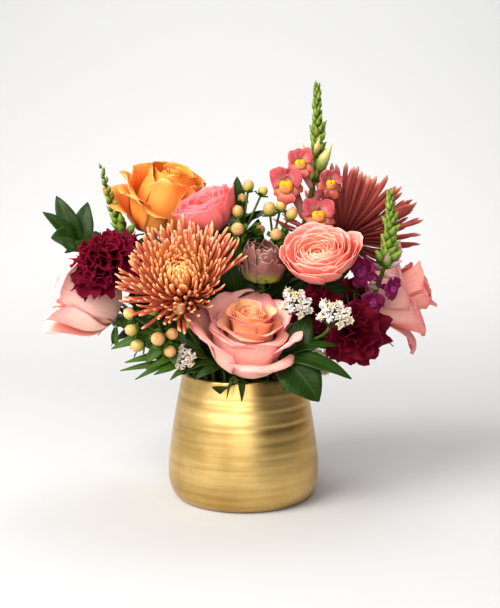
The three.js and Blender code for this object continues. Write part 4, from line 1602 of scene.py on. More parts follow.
@dataclass
class Snapdragon:
    """A spike of buds on its stem, and its open flowers."""

    name: str
    mouth: Mouth
    points: list[Spot]
    stem: float
    bud_start: float
    bud_count: int
    bud_size: float
    flowers: list[Flower] = field(default_factory=list)
    finish: Finish = Bloomy.PINK.value
    slot: str = "snapdragon"
    loose_buds: list[tuple[Spot, Spot, float]] = field(default_factory=list)
    loose_finish: Finish = Green.PALE_BUD.value
    seed: float = 0.0

    def curve(self) -> Array:
        """Gives the spike's own line, above where its stem leaves the leaves."""
        return through(self.points, SPIKE_STEPS)

    def at(self, t: float) -> tuple[Array, Array]:
        """Gives the spot and the direction at a share of the spike.

        Args:
            t: the share, from 0 at its lowest point to 1 at its tip.

        Returns:
            The spot and the direction.
        """
        line = self.curve()
        k = min(int(t * SPIKE_STEPS), SPIKE_STEPS - 1)
        step = line[k + 1] - line[k]
        return line[k] + step * (t * SPIKE_STEPS - k), unit(step)

    def make_stem(self) -> None:
        """Makes the stem and the narrow leaves under the flowers."""
        first, second = np.array(self.points[0]), np.array(self.points[1])
        lower = stem_line(self.mouth, first, second - first)
        upper = self.curve()[1::3]
        taper = np.linspace(self.stem, self.stem * 0.35, len(upper))
        radii = np.concatenate((np.full(len(lower), self.stem), taper))
        draft = Draft()
        draft.tube(np.vstack((lower, upper)), radii, 8, seed=self.seed)
        draft.finish(f"{self.name}_stalk", "stem", Green.STEM.value, [self.name])
        leaves = leaves_along(lower, 6, self.seed + 5, 0.5, 26)
        for leaf in leaves:
            leaf.width *= 0.5
        make_leaves(f"{self.name}_leaves", leaves, Green.FRESH_LEAF.value)

    def make_buds(self) -> None:
        """Makes the buds, larger low down, in the spiral that they grow in."""
        draft = Draft()
        for k in range(self.bud_count):
            share = k / (self.bud_count - 1)
            spot, along = self.at(lerp(self.bud_start, 0.975, share))
            turn = math.radians(k * GOLDEN_ANGLE)
            out = np.array((math.cos(turn), math.sin(turn), 0.0))
            lean = math.radians(lerp(44, 18, share) + around(k + self.seed, 12))
            toward = unit(out * math.sin(lean) + along * math.cos(lean))
            size = self.bud_size * lerp(1.0, 0.4, share**0.9) * (1 + around(k + 11, 0.18))
            place = frame_at(spot + out * 0.6, toward, k * 40)
            draft.stamp(bud_template(), place, [size * 0.86, size * 0.8, size], share, k)
        draft.finish(f"{self.name}_buds", "bud", Green.BUD.value, [self.name])
        if self.loose_buds:
            draft = Draft()
            for k, (spot, toward, size) in enumerate(self.loose_buds):
                width = size * 0.54
                draft.stamp(bud_template(), frame_at(spot, toward), [width, width, size], 0.5, k + self.seed)
            draft.finish(f"{self.name}_opening_buds", self.slot, self.loose_finish)

    def make_flower(self, number: int, flower: Flower) -> None:
        """Makes an open flower: its tube, its hood, its lower lip and the swelling that shuts its mouth.

        Args:
            number: which of the spike's flowers it is, from 1.
            flower: its place and its size.
        """
        place = upright_frame(flower.face, flower.toward)
        size = flower.size
        seed = self.seed + number * 13
        draft = Draft()
        root, face = np.array(flower.root, float), np.array(flower.face, float)
        knots = (root, root * 0.6 + face * 0.4, face - unit(flower.toward) * size * 0.45, face)
        draft.tube(bezier(knots, 10), size * np.linspace(0.1, 0.24, 11), 12, 0.85, 0.75, seed)
        both = {"foot": size * 0.17, "base": -size * 0.04, "wave": size * 0.06, "waves": 1.3, "round": 0.3}
        both["ripple"] = 0.6
        for k, turn in enumerate((42, 138)):
            turn += around(seed + k, 14)
            hood = Petal(turn, size * 0.44, (84, 46, -30), 60, point=0.1, crumple=1.3, seed=seed + k, **both)
            draft.sheet_of(hood.surface, (12, 11), place, 1.0, seed + k)
        for k, (turn, reach) in enumerate(((-90, 0.5), (-150, 0.34), (-30, 0.34))):
            lip = Petal(turn, size * reach, (64, 0, -84), 36, crumple=1.1, seed=seed + 5 + k, **both)
            draft.sheet_of(lip.surface, (9, 9), place, 0.68, seed + k)
        for across, down, wide, ring in SWELLINGS:
            spot = carry(np.array(((across * size, -down * size, 0.0),)), place)[0]
            swelling = upright_frame(spot, flower.toward)
            draft.stamp(berry_template(), swelling, [size * wide, size * 0.14, size * 0.11], ring, seed)
        name = f"{self.name}_flower_{number}"
        draft.finish(f"{name}_lobes", self.slot, self.finish, [name], PETAL_THICKNESS)

    def make(self) -> None:
        """Makes the whole snapdragon."""
        self.make_stem()
        self.make_buds()
        for k, flower in enumerate(self.flowers):
            self.make_flower(k + 1, flower)


# ---- hypericum
@dataclass
class Hypericum:
    """Berries on short stalks that leave one stem, each in its cup of sepals, and leaves at the fork."""

    name: str
    mouth: Mouth
    fork: Spot
    toward: Spot
    stem: float
    berries: list[Ball]
    leaves: list[Leaf]

    def make(self) -> None:
        """Makes the berries, and the green that carries them."""
        fruit, green, blades = Draft(), Draft(), Draft()
        line = stem_line(self.mouth, self.fork, self.toward)
        green.tube(line, self.stem, 8)
        root = np.array(self.fork) - unit(self.toward) * self.stem * 1.5
        for k, (*middle, radius) in enumerate(self.berries):
            berry = np.array(middle)
            facing = unit(berry - root)
            under = berry - facing * radius
            knot = (root + under) / 2 + np.array((around(k, 1.5), around(k + 5, 1.5), 1.5))
            stalk = bezier((root, knot, knot, under + facing * radius * 0.3), 8)
            green.tube(stalk, self.stem * 0.62, 6, seed=k)
            place = frame_at(under, facing)
            fruit.stamp(berry_template(), place, [radius] * 3, 0.5, k + self.stem * 10)
            for s in range(5):
                sepal = Petal(
                    s * 72 + k * 30, radius * 1.5, (0, 30, 10), 30,
                    foot=0.4, base=-0.2, round=0.5, point=0.4, seed=k + s,
                )
                blades.sheet_of(sepal.surface, (4, 5), place, 1.0, k + s)
        for leaf in self.leaves + leaves_along(line, 5, self.stem * 7, 0.5, 20):
            leaf.add_to(blades)
        fruit.finish(f"{self.name}_berries", "berry", Green.BERRY.value, [self.name])
        green.finish(f"{self.name}_stalks", "stem", Green.STEM.value)
        blades.finish(f"{self.name}_leaves", "leaf", Green.FRESH_LEAF.value, (), LEAF_THICKNESS)


# ---- statice
@dataclass
class Statice:
    """A flat head of small papery cups on branched green stalks."""

    name: str
    mouth: Mouth
    head: Spot
    toward: Spot
    radius: float
    cups: int = 15

    def make(self) -> None:
        """Makes the ragged cups, and the feathery stalks under them."""
        place = frame_at(self.head, self.toward)
        fork = carry(np.array(((0.0, 0.0, -self.radius * 1.1),)), place)[0]
        paper, green = Draft(), Draft()
        line = stem_line(self.mouth, fork, self.toward)
        green.tube(line, 1.2, 7)
        for k in range(self.cups):
            out = math.sqrt((k + 0.4) / self.cups)
            turn = math.radians(k * GOLDEN_ANGLE)
            x, y = math.cos(turn) * out, math.sin(turn) * out
            lift = self.radius * (0.1 - 0.25 * out * out) + around(k, 1.6)
            spot = carry(np.array(((x * self.radius * 0.9, y * self.radius * 0.9, lift),)), place)[0]
            facing = place[:3, :3] @ unit((x * 0.9 + around(k + 7, 0.5), y * 0.9 + around(k + 9, 0.5), 1))
            bend = (fork + spot) / 2 + unit(facing) * 1.5
            green.tube(bezier((fork, bend, bend, spot + facing * 0.6), 6), 0.6, 5, 0.5, seed=k)
            for s in range(4):
                tip = spot + facing * 1.5 + np.array([around(k * 4 + s + at, 4.5) for at in (0.1, 0.4, 0.7)])
                start = (fork + spot) / 2 + (spot - fork) * around(s + k, 0.25)
                twig = bezier((start, (start + spot) / 2, (spot + tip) / 2, tip), 4)
                green.tube(twig, np.array(TWIG_WIDTHS), 4, 0.4, seed=k)
            own = frame_at(spot, facing)
            for s in range(2):
                leans = (80 + 6 * s, 60 + 14 * s, 6 + 34 * s)
                frill = Petal(
                    k * 37 + s * 50, self.radius * (0.46 - 0.16 * s), leans, 180, foot=0.5, base=0, round=0,
                    wave=1.5, waves=4.0 + s, fringe=0.34, teeth=11, crumple=0.9, ripple=0.8, seed=k + s,
                )
                paper.sheet_of(frill.surface, (22, 5), own, 0.3 + 0.7 * draw(k + s), k + s)
            if k % 3 == 0:
                paper.stamp(berry_template(), own, [1.1, 1.1, 1.8], 0.0, k)
        node = f"statice_{self.name}"
        paper.finish(f"{node}_cups", "white", Bloomy.WHITE.value, [node], CUP_THICKNESS)
        green.finish(f"{node}_stalks", "stem", Green.STEM.value)


# ---- leafy stems
@dataclass
class Foliage:
    """A leafy stem."""

    name: str
    mouth: Mouth
    end: Spot
    toward: Spot
    leaves: list[Leaf]
    stem: float = 1.4
    finish: Finish = Green.LEAF.value
    extra: int = 5

    def make(self) -> None:
        """Makes the stem and its leaves."""
        line = stem_line(self.mouth, self.end, self.toward)
        stalk = Draft()
        stalk.tube(line, self.stem, 8)
        stalk.finish(f"{self.name}_stalk", "stem", Green.STEM.value)
        leaves = self.leaves + leaves_along(line, self.extra, len(self.name) * 3.3, 0.45, 30)
        make_leaves(f"{self.name}_leaves", leaves, self.finish, [self.name])


# ---- the pot
@dataclass
class Pot:
    """A spun gold pot with a rounded foot, a belly low down and a narrower mouth."""

    height: float = POT_HEIGHT
    mouth: float = 48.3
    belly: float = 60.5
    belly_height: float = 23.0
    foot: float = 50.0
    wall: float = 2.0
    floor: float = 3.0
    sides: int = 128
    ring_heights: tuple[float, ...] = (86.5, 82.0, 77.0, 66.0, 55.5, 43.0, 34.5)
    ring_depths: tuple[float, ...] = (0.1, 0.06, 0.13, 0.16, 0.06, 0.09, 0.07)
    ring_width: float = 1.7
    ring_crest: float = 3.2  # how far above a ring's groove its raised edge runs
    side_steps: int = 64
    foot_steps: int = 9
    foot_rise: float = 19.0  # how high the rounded foot reaches
    hub: float = 6.0  # the radius of the flat middle, where the shape starts and ends

    def side_radius(self, z: float) -> float:
        """Gives the outer radius at a height above the belly, with its throwing rings.

        Args:
            z: the height.

        Returns:
            The radius.
        """
        share = max(0.0, (z - self.belly_height) / (self.height - self.belly_height))
        plain = lerp(self.belly, self.mouth, share**1.35)
        for height, depth in zip(self.ring_heights, self.ring_depths):
            plain -= depth * math.exp(-(((z - height) / self.ring_width) ** 2))
            plain += depth * 0.5 * math.exp(-(((z - height - self.ring_crest) / self.ring_width) ** 2))
        return plain

    def profile(self) -> list[tuple[float, float]]:
        """Draws the pot's section, from its underside up and over to its inside.

        Returns:
            A radius and a height for each ring.
        """
        under = [(self.hub, 0.0), (self.foot - 5, 0.0), (self.foot, 0.15)]
        corner_radius = self.belly - self.foot
        foot_curve = []
        for k in range(1, self.foot_steps):
            turn = math.radians(90 * k / self.foot_steps)
            out = self.foot + corner_radius * math.sin(turn) * 0.985
            foot_curve.append((out, 0.15 + self.foot_rise * (1 - math.cos(turn))))
        side = []
        for k in range(self.side_steps + 1):
            z = lerp(self.belly_height, self.height - 0.9, k / self.side_steps)
            side.append((self.side_radius(z), z))
        lip = [(self.mouth - 0.35, self.height - 0.2), (self.mouth - self.wall / 2, self.height)]
        lip.append((self.mouth - self.wall + 0.35, self.height - 0.2))
        inner = []
        for k in range(17):
            z = lerp(self.height - 1, self.belly_height, k / 16)
            inner.append((self.side_radius(z) - self.wall, z))
        bottom = [(self.foot + 6, self.floor + 5), (self.foot + 1.5, self.floor + 0.6)]
        bottom += [(self.foot - 4, self.floor), (self.hub, self.floor)]
        return under + foot_curve + side + lip + inner + bottom

    def make(self) -> None:
        """Raises the pot ring by ring from a small disc, and closes its floor."""
        first, *rest = self.profile()
        disc = {"vertices": self.sides, "radius": self.hub * MM, "fill_type": "NGON"}
        pot = fresh(bpy.ops.mesh.primitive_circle_add, **disc)
        with editing(pot):
            bpy.ops.mesh.select_all(action="SELECT")
            bpy.ops.mesh.flip_normals()
            bpy.ops.mesh.select_mode(type="EDGE")
            before = first
            for radius, z in rest:
                extrude(0, 0, (z - before[1]) * MM)
                scale = radius / before[0]
                bpy.ops.transform.resize(value=(scale, scale, 1), center_override=(0, 0, z * MM))
                before = (radius, z)
            bpy.ops.mesh.edge_face_add()
            bpy.ops.mesh.select_all(action="SELECT")
            bpy.ops.mesh.normals_make_consistent(inside=False)
            bpy.ops.mesh.select_mode(type="VERT")
        bpy.ops.object.shade_smooth()
        pot.name = "spun_pot"
        dress(pot, "gold", GOLD, ["pot"])


# ---- the arrangement
def roses() -> Iterator[Bloom]:
    """Gives the roses.

    Returns:
        Each rose at its place.
    """
    peach, pale, orange = Bloomy.PEACH.value, Bloomy.PALE_PEACH.value, Bloomy.ORANGE.value
    guard = {"wrap": 1.4, "round": 0.14, "crumple": 1.0, "wave": 1.2, "foot": 6.0, "ripple": 0.9}
    front_guards = (  # turn, length, leans, span, roll, shoulder, point
        (-156, 64, (14, 70, 60), 52, 46, 5.0, 0.12),
        (-108, 57, (6, 79, 82), 58, 40, 1.5, 0.1),
        (-58, 49, (-2, 66, 46), 56, 104, 4.0, 0.2),
        (-6, 55, (14, 72, 64), 50, 64, 4.0, 0.14),
        (172, 62, (18, 70, 58), 50, 56, 4.0, 0.12),
        (40, 60, (26, 84, 82), 52, 70, 3.0, 0.1),
        (92, 61, (30, 84, 84), 54, 50, 3.0, 0.1),
        (136, 61, (28, 82, 80), 52, 64, 3.0, 0.1),
    )
    # each length is the rose's radius times how far its cup reaches
    left_cup = [
        *cup((80, 10, -50), 36 * 1.94, ((6, 76, 84), (8, 74, 76)), 51, roll=44, crumple=1.4, ripple=0.6),
        *cup((-142, 160), 36 * 1.68, ((4, 76, 78), (2, 70, 52)), 57, roll=34, crumple=1.4, point=0.2),
    ]
    right_cup = [
        *cup((60, 116), 37 * 1.5, ((6, 62, 50),), 69),
        *cup((-132, 172), 37 * 1.6, ((8, 60, 44), (6, 74, 62)), 71, shoulder=6, crumple=1.6, point=0.2),
        *cup((-54, 6), 37 * 1.5, ((4, 62, 60), (0, 42, 14)), 75, roll=84, ripple=1, crumple=1.8),
    ]
    orange_cup = [
        *cup((-78, -14, 40, 92), 36 * 1.84, ((8, 82, 116),), 111, point=0.3, roll=44, crumple=1.8, wave=1.6),
        *cup((150, 206), 36 * 1.72, ((4, 74, 92), (2, 68, 70)), 115, point=0.3, roll=50, crumple=2.2, wave=2),
        *cup(
            (-128, -176), 36 * 1.56, ((0, 64, 62), (-4, 52, 26)), 117,
            point=0.36, roll=70, crumple=2, wave=2,
        ),
    ]
    yield Rose(
        "front_rose", (1, -39, 108), (0.09, -0.36, 0.93), (0, -28), peach, "peach", seed=3,
        radius=42, tall=1.22, first=-150, sepals=0,
        drape=[
            Leaf((-4, -47, 107), (-1, -61, 90), 6, (0.2, -1, 0.6), arch=0.3),
            Leaf((-3, -47, 106), (-12, -61, 92), 3, (-0.4, -1, 0.2), arch=0.4),
            Leaf((-16, -44, 110), (-40, -58, 113), 9, (-0.2, -0.6, 1), arch=0.25),
            Leaf((-16, -44, 114), (-36, -60, 106), 8, (-0.2, -1, 0.4), arch=0.25),
            Leaf((-20, -40, 112), (-48, -52, 108), 8, (-0.2, -1, 0.5), arch=0.25),
        ],
        whorls=(
            Whorl(3, 1.28, (72, 90, 94), 118, 0.06, 12, shoulder=0.4, ring=0.06),
            Whorl(3, 1.29, (62, 88, 92), 106, 0.07, 22, shoulder=0.6, ring=0.12),
            Whorl(4, 1.28, (52, 86, 89), 92, 0.09, 44, shoulder=1.2, point=0.12, ring=0.26),
            Whorl(4, 1.25, (40, 83, 84), 80, 0.11, 70, shoulder=2.0, point=0.14, ring=0.45),
            Whorl(3, 1.2, (27, 80, 78), 78, 0.13, 90, shoulder=3.0, point=0.16, ring=0.75),
        ),
        outer=[
            Petal(*place, roll=roll, shoulder=shoulder, point=point, seed=31 + k, **guard)
            for k, (*place, roll, shoulder, point) in enumerate(front_guards)
        ],
    )
    yield Rose(
        "left_rose", (-101, 0, 142), (-0.78, -0.16, 0.6), (-38, -6), pale, "peach", seed=5,
        radius=36, tall=1.3, whorls=SIDE_ROSE, outer=left_cup,
    )
    yield Rose(
        "right_rose", (103, 22, 150), (0.88, -0.1, 0.4), (38, 4), Bloomy.BLUSH.value, "peach", seed=7,
        radius=37, tall=1.25, whorls=SIDE_ROSE[:2], outer=right_cup,
    )
    yield Rose(
        "orange_rose", (-74, 42, 206), (0.34, -0.26, 0.9), (-17, 10), orange, "orange", seed=11,
        radius=36, tall=1.62, outer=orange_cup,
        whorls=(
            Whorl(3, 1.74, (40, 90, 132), 104, 0.1, 14, point=0.34, ring=0.2),
            Whorl(4, 1.78, (24, 86, 124), 84, 0.12, 30, point=0.36, ring=0.4),
        ),
    )
    yield Rose(
        "back_rose", (-14, 58, 150), (-0.12, 0.78, 0.6), (-6, 36), peach, "peach", seed=13,
        radius=38, outer=cup((-80, 0, 70, 140, 215), 38 * 1.2, ((14, 58, 14), (20, 64, 42)), 131),
    )


def round_blooms() -> Iterator[Bloom]:
    """Gives the ranunculus, the carnations and the loose dark blooms.

    Returns:
        Each bloom at its place.
    """
    coral, lit, mauve = Bloomy.CORAL.value, Bloomy.CORAL_LIT.value, Bloomy.MAUVE.value
    dark = Bloomy.BURGUNDY.value
    yield Ranunculus(
        "upper_ranunculus", (-22, -4, 212), (-0.36, -0.26, 0.9), (-10, -3), coral, "coral", seed=17,
        radius=28, close=0.5, count=84, ruffle=1.1, ragged=0.03,
    )
    yield Ranunculus(
        "right_ranunculus", (60, -33, 181), (-0.16, -0.54, 0.83), (19, -15), lit, "coral", seed=19,
        radius=28.5, count=90,
    )
    yield Ranunculus(
        "back_ranunculus", (44, 60, 142), (0.42, 0.8, 0.4), (17, 34), coral, "coral", seed=23,
        radius=27, close=0.3,
    )
    yield Ranunculus(
        "mauve_ranunculus_bud", (14, -31, 175), (0.05, -0.16, 0.98), (5, -19), mauve, "mauve", seed=29,
        radius=28, close=1.5, count=70, ruffle=1.8, ragged=0.16, short=0.46, uneven=0.22, stem=1.8,
        leaves=0,
    )
    yield Carnation(
        "left_carnation", (-100, -33, 187), (-0.45, -0.64, 0.62), (-29, -19), dark, "burgundy", seed=31
    )
    yield Carnation(
        "back_carnation", (-70, 52, 166), (-0.55, 0.75, 0.35), (-26, 27), dark, "burgundy", seed=37,
        radius=26,
    )
    yield LooseBloom(
        "burgundy_bloom_low", (81, -37, 138), (0.35, -0.92, 0.1), (33, -21), dark, "burgundy", seed=41
    )
    yield LooseBloom(
        "burgundy_bloom_inner", (55, -30, 150), (0.05, -0.85, 0.5), (26, -29), dark, "burgundy", seed=43,
        radius=19,
    )
    yield LooseBloom(
        "burgundy_bloom_back", (86, 52, 140), (0.75, 0.62, 0.3), (31, 24), dark, "burgundy", seed=47
    )


def spider_blooms() -> Iterator[Bloom]:
    """Gives the spider chrysanthemums.

    Returns:
        Each chrysanthemum at its place.
    """
    yield Chrysanthemum(
        "bronze_chrysanthemum", (-44, -44, 172), (-0.08, -0.76, 0.64), (-9, -25), Bloomy.BRONZE.value,
        "bronze", seed=53, radius=50, rays=420, quill=1.25, inner=(84, 108, 158), outer=(6, 22, 42),
        keep_out=[(2, -50, 150, 38), (-22, -62, 140, 25), (-28, -6, 232, 31), (-106, -42, 200, 22)],
    )
    yield Chrysanthemum(
        "rust_chrysanthemum", (80, 32, 202), (0.3, 0.72, 0.6), (17, 12), Bloomy.RUST.value, "rust",
        seed=59, radius=60, rays=300, inner=(80, 95, 130), outer=(6, 12, 20), quill=2.1, flat=0.3,
        loose=0.34,
        taper=(0.3, 0.42, 0.55, 0.68, 0.8, 0.92, 1.0, 0.9, 0.2),
        keep_out=[
            (62, -50, 200, 38), (60, 72, 152, 34), (130, 22, 160, 38),
            (50, 2, 222, 14), (54, 3, 250, 14), (36, 28, 226, 26),
        ],
    )


def snapdragons() -> Iterator[Snapdragon]:
    """Gives the snapdragons.

    Returns:
        Each snapdragon at its place.
    """
    yield Snapdragon(
        "pink_snapdragon", (15, -1), [(47, 0, 212), (54, 3, 245), (58, 6, 285), (57, 9, 326)], 2.8,
        bud_start=0.38, bud_count=62, bud_size=14, seed=61,
        flowers=[
            Flower((48, 0, 224), (34, -12, 249), (-0.3, -0.85, 0.2), 29),
            Flower((53, 2, 246), (44, -12, 265), (-0.1, -0.85, 0.35), 23),
            Flower((53, 2, 232), (66, -12, 250), (0.35, -0.8, 0.25), 22),
            Flower((50, 1, 212), (58, -12, 225), (-0.05, -0.8, 0.45), 28),
        ],
        loose_buds=[
            ((50, 1, 264), (-0.25, -0.3, 0.9), 18),
            ((57, 1, 258), (0.45, -0.25, 0.85), 26),
            ((56, -1, 272), (0.15, -0.6, 0.75), 15),
            ((44, 1, 262), (-0.8, -0.3, 0.5), 13),
            ((52, -3, 252), (0.1, -0.6, 0.75), 14),
        ],
    )
    yield Snapdragon(
        "plum_snapdragon", (30, -10),
        [(100, -24, 163), (108, -26, 188), (112, -26, 215), (111, -24, 243)], 2.0,
        bud_start=0.3, bud_count=54, bud_size=15, finish=Bloomy.PLUM.value, slot="plum", seed=67,
        flowers=[
            Flower((105, -25, 176), (91, -35, 184), (-0.5, -0.8, 0.3), 23),
            Flower((104, -26, 172), (112, -36, 172), (0.5, -0.8, 0.1), 17),
            Flower((101, -26, 163), (98, -40, 162), (-0.1, -0.98, -0.1), 19),
        ],
        loose_buds=[
            ((108, -28, 188), (0.1, -0.7, 0.7), 15),
            ((110, -28, 186), (0.8, -0.5, 0.5), 14),
            ((107, -29, 180), (0.6, -0.8, 0.1), 13),
            ((105, -28, 184), (-0.6, -0.6, 0.5), 14),
            ((103, -28, 170), (-0.8, -0.6, 0.3), 13),
        ],
        loose_finish=Green.MAUVE_BUD.value,
    )
    yield Snapdragon(
        "left_snapdragon", (-24, 6), [(-92, 14, 205), (-103, 14, 226), (-112, 12, 262)], 1.6,
        bud_start=0.06, bud_count=26, bud_size=13, finish=Bloomy.PLUM.value, slot="plum", seed=71,
    )


def berries() -> Iterator[Hypericum]:
    """Gives the hypericum sprays.

    Returns:
        Each spray at its place.
    """
    up = (0, -0.4, 1)
    out = (0, -1, 0.5)
    yield Hypericum(
        "hypericum_centre", (-1, -9), (0, -14, 212), (0, -0.1, 1), 1.5,
        [
            (4, -12, 247, 4.6), (-1, -6, 237, 3.8), (-4, -20, 228, 4.6),
            (-4, -36, 216, 5.2), (15, -8, 243, 4), (12, -5, 213, 4.6),
        ],
        [Leaf((0, -14, 208), (14, -26, 220), 8, up)],
    )
    yield Hypericum(
        "hypericum_right", (9, -8), (24, -10, 205), (0.15, -0.1, 1), 1.5,
        [(20, -20, 230, 5.2), (29, -12, 232, 4.6), (37, -17, 226, 4.6), (25, -26, 211, 4.8)],
        [Leaf((24, -10, 203), (34, -22, 215), 8, up)],
    )
    yield Hypericum(
        "hypericum_low", (-23, -30), (-60, -50, 136), (-0.6, -0.3, 0.6), 1.6,
        [
            (-84, -52, 154, 4.6), (-82, -60, 143, 4.6), (-78, -56, 131, 5),
            (-62, -68, 138, 5.4), (-54, -62, 128, 4.8), (-66, -58, 158, 4.6),
            (-46, -74, 161, 5), (-52, -64, 141, 4.6), (-41, -58, 148, 4.4),
        ],
        [
            Leaf((-58, -49, 134), (-72, -58, 118), 10, out),
            Leaf((-56, -48, 132), (-50, -64, 118), 10, out),
            Leaf((-52, -46, 124), (-88, -56, 118), 6, out),
            Leaf((-50, -46, 120), (-80, -60, 106), 5, out),
            Leaf((-46, -47, 116), (-66, -62, 110), 6, out),
            Leaf((-42, -47, 114), (-54, -62, 106), 5, out),
            Leaf((-48, -46, 122), (-72, -62, 114), 5, out),
            Leaf((-50, -48, 118), (-92, -52, 111), 5, out),
            Leaf((-66, -48, 140), (-98, -54, 128), 8, out),
        ],
    )


def statice() -> Iterator[Statice]:
    """Gives the statice heads.

    Returns:
        Each head at its place.
    """
    yield Statice("upper", (9, -29), (39, -61, 163), (0.25, -0.75, 0.6), 11.5)
    yield Statice("right", (18, -25), (66, -75, 157), (0.2, -0.6, 0.77), 12.5)
    yield Statice("low", (19, -34), (55, -56, 118), (0.5, -0.8, 0.1), 11)
    yield Statice("left", (-14, -37), (-44, -55, 122), (-0.45, -0.85, 0.1), 9)
    yield Statice("back", (5, 38), (14, 76, 122), (0.15, 0.95, 0.2), 11)


def foliage() -> Iterator[Foliage]:
    """Gives the leafy stems.

    Returns:
        Each leafy stem at its place.
    """
    yield Foliage(
        "left_foliage", (-31, -5), (-127, 4, 205), (-1, 0, 0.25),
        [
            Leaf((-128, 2, 203), (-147, 6, 239), 16, (0.1, -1, 0.1)),
            Leaf((-128, 2, 203), (-156, -4, 227), 12, (0.3, -0.9, 0.4)),
            Leaf((-127, 1, 202), (-148, -14, 208), 26, (0, -0.8, 0.6)),
            Leaf((-127, 3, 196), (-123, 9, 234), 18, (-0.1, -1, 0)),
            Leaf((-121, 2, 202), (-138, -14, 196), 9, (0, -0.8, 0.5)),
        ],
        extra=3,
    )
    yield Foliage(
        "right_foliage", (10, -38), (30, -57, 123), (0.6, -0.7, 0.3),
        [
            Leaf((28, -56, 122), (56, -70, 92), 32, (0.2, -1, 0.3), arch=0.16),
            Leaf((34, -54, 118), (50, -47, 152), 22, (-0.2, -1, 0.1)),
            Leaf((30, -57, 123), (79, -76, 110), 14, (0.1, -0.7, 0.7)),
            Leaf((29, -55, 122), (70, -62, 132), 11, (0, -0.5, 1)),
        ],
        extra=3,
    )
    yield Foliage(
        "inner_foliage", (-3, -17), (-4, -25, 165), (0, -0.2, 1),
        [
            Leaf((-4, -24, 163), (-14, -26, 208), 18, (0, -1, 0.2)),
            Leaf((-4, -21, 158), (28, -5, 196), 17, (0, -1, 0.2)),
            Leaf((-4, -24, 150), (-32, -34, 160), 15, (0, -1, 0.4)),
            Leaf((-4, -23, 140), (28, -34, 158), 15, (0, -1, 0.4)),
            Leaf((-2, -18, 168), (10, 0, 212), 17, (0, -1, 0.3)),
            Leaf((-2, -18, 172), (-2, 2, 208), 16, (-0.2, -1, 0.3)),
            Leaf((-2, -16, 160), (36, 6, 208), 18, (-0.3, -1, 0.3)),
            Leaf((-2, -14, 150), (44, 4, 182), 18, (-0.2, -1, 0.5)),
            Leaf((-2, -14, 160), (-36, 6, 196), 18, (0.3, -1, 0.4)),
            Leaf((-2, -12, 150), (-52, 8, 176), 18, (0.2, -1, 0.5)),
            Leaf((-2, -14, 140), (-46, -8, 150), 16, (0, -1, 0.6)),
        ],
        extra=10,
    )
    yield Foliage(
        "top_foliage", (0, 4), (-3, 14, 226), (0, 0.05, 1),
        [
            Leaf((-3, 13, 220), (-5, 8, 254), 14, (0, -1, 0.1)),
            Leaf((-3, 14, 214), (18, 30, 224), 13, (0, -0.3, 1)),
            Leaf((-2, 13, 206), (-20, 34, 226), 13, (0, 0, 1)),
            Leaf((-4, 14, 158), (-18, 22, 222), 26, (0, -1, 0.1)),
            Leaf((0, 14, 156), (12, 22, 220), 26, (0, -1, 0.1)),
            Leaf((2, 14, 150), (36, 22, 212), 26, (0, -1, 0.1)),
            Leaf((-5, 14, 150), (-46, 24, 206), 26, (0, -1, 0.1)),
            Leaf((3, 14, 142), (58, 20, 190), 26, (0, -1, 0.2)),
            Leaf((5, 8, 130), (84, 0, 168), 24, (0, -1, 0.3)),
            Leaf((8, 8, 128), (88, 8, 186), 26, (0, -1, 0.2)),
            Leaf((-8, 6, 116), (-100, 6, 150), 26, (0, -1, 0.2)),
            Leaf((-8, 4, 112), (-96, 2, 130), 22, (0, -1, 0.3)),
            Leaf((-5, 8, 130), (-86, 6, 166), 24, (0, -1, 0.3)),
        ],
    )
    yield Foliage(
        "back_left_foliage", (-35, 14), (-92, 44, 140), (-0.7, 0.4, 0.4),
        [
            Leaf((-90, 43, 139), (-130, 52, 150), 15, (-0.2, 0.2, 1)),
            Leaf((-90, 43, 138), (-112, 66, 126), 15, (-0.4, 0.6, 0.7)),
            Leaf((-80, 38, 134), (-96, 56, 108), 14, (-0.5, 0.7, 0.4)),
            Leaf((-88, 42, 138), (-120, 30, 124), 14, (-0.6, 0, 0.8)),
        ],
    )
    yield Foliage(
        "back_right_foliage", (36, 14), (86, 34, 132), (0.7, 0.4, 0.3),
        [
            Leaf((85, 34, 129), (124, 34, 114), 15, (0.2, 0.2, 1)),
            Leaf((85, 34, 130), (110, 26, 108), 14, (0.6, 0, 0.8)),
            Leaf((76, 30, 126), (92, 48, 102), 14, (0.5, 0.6, 0.5)),
        ],
    )


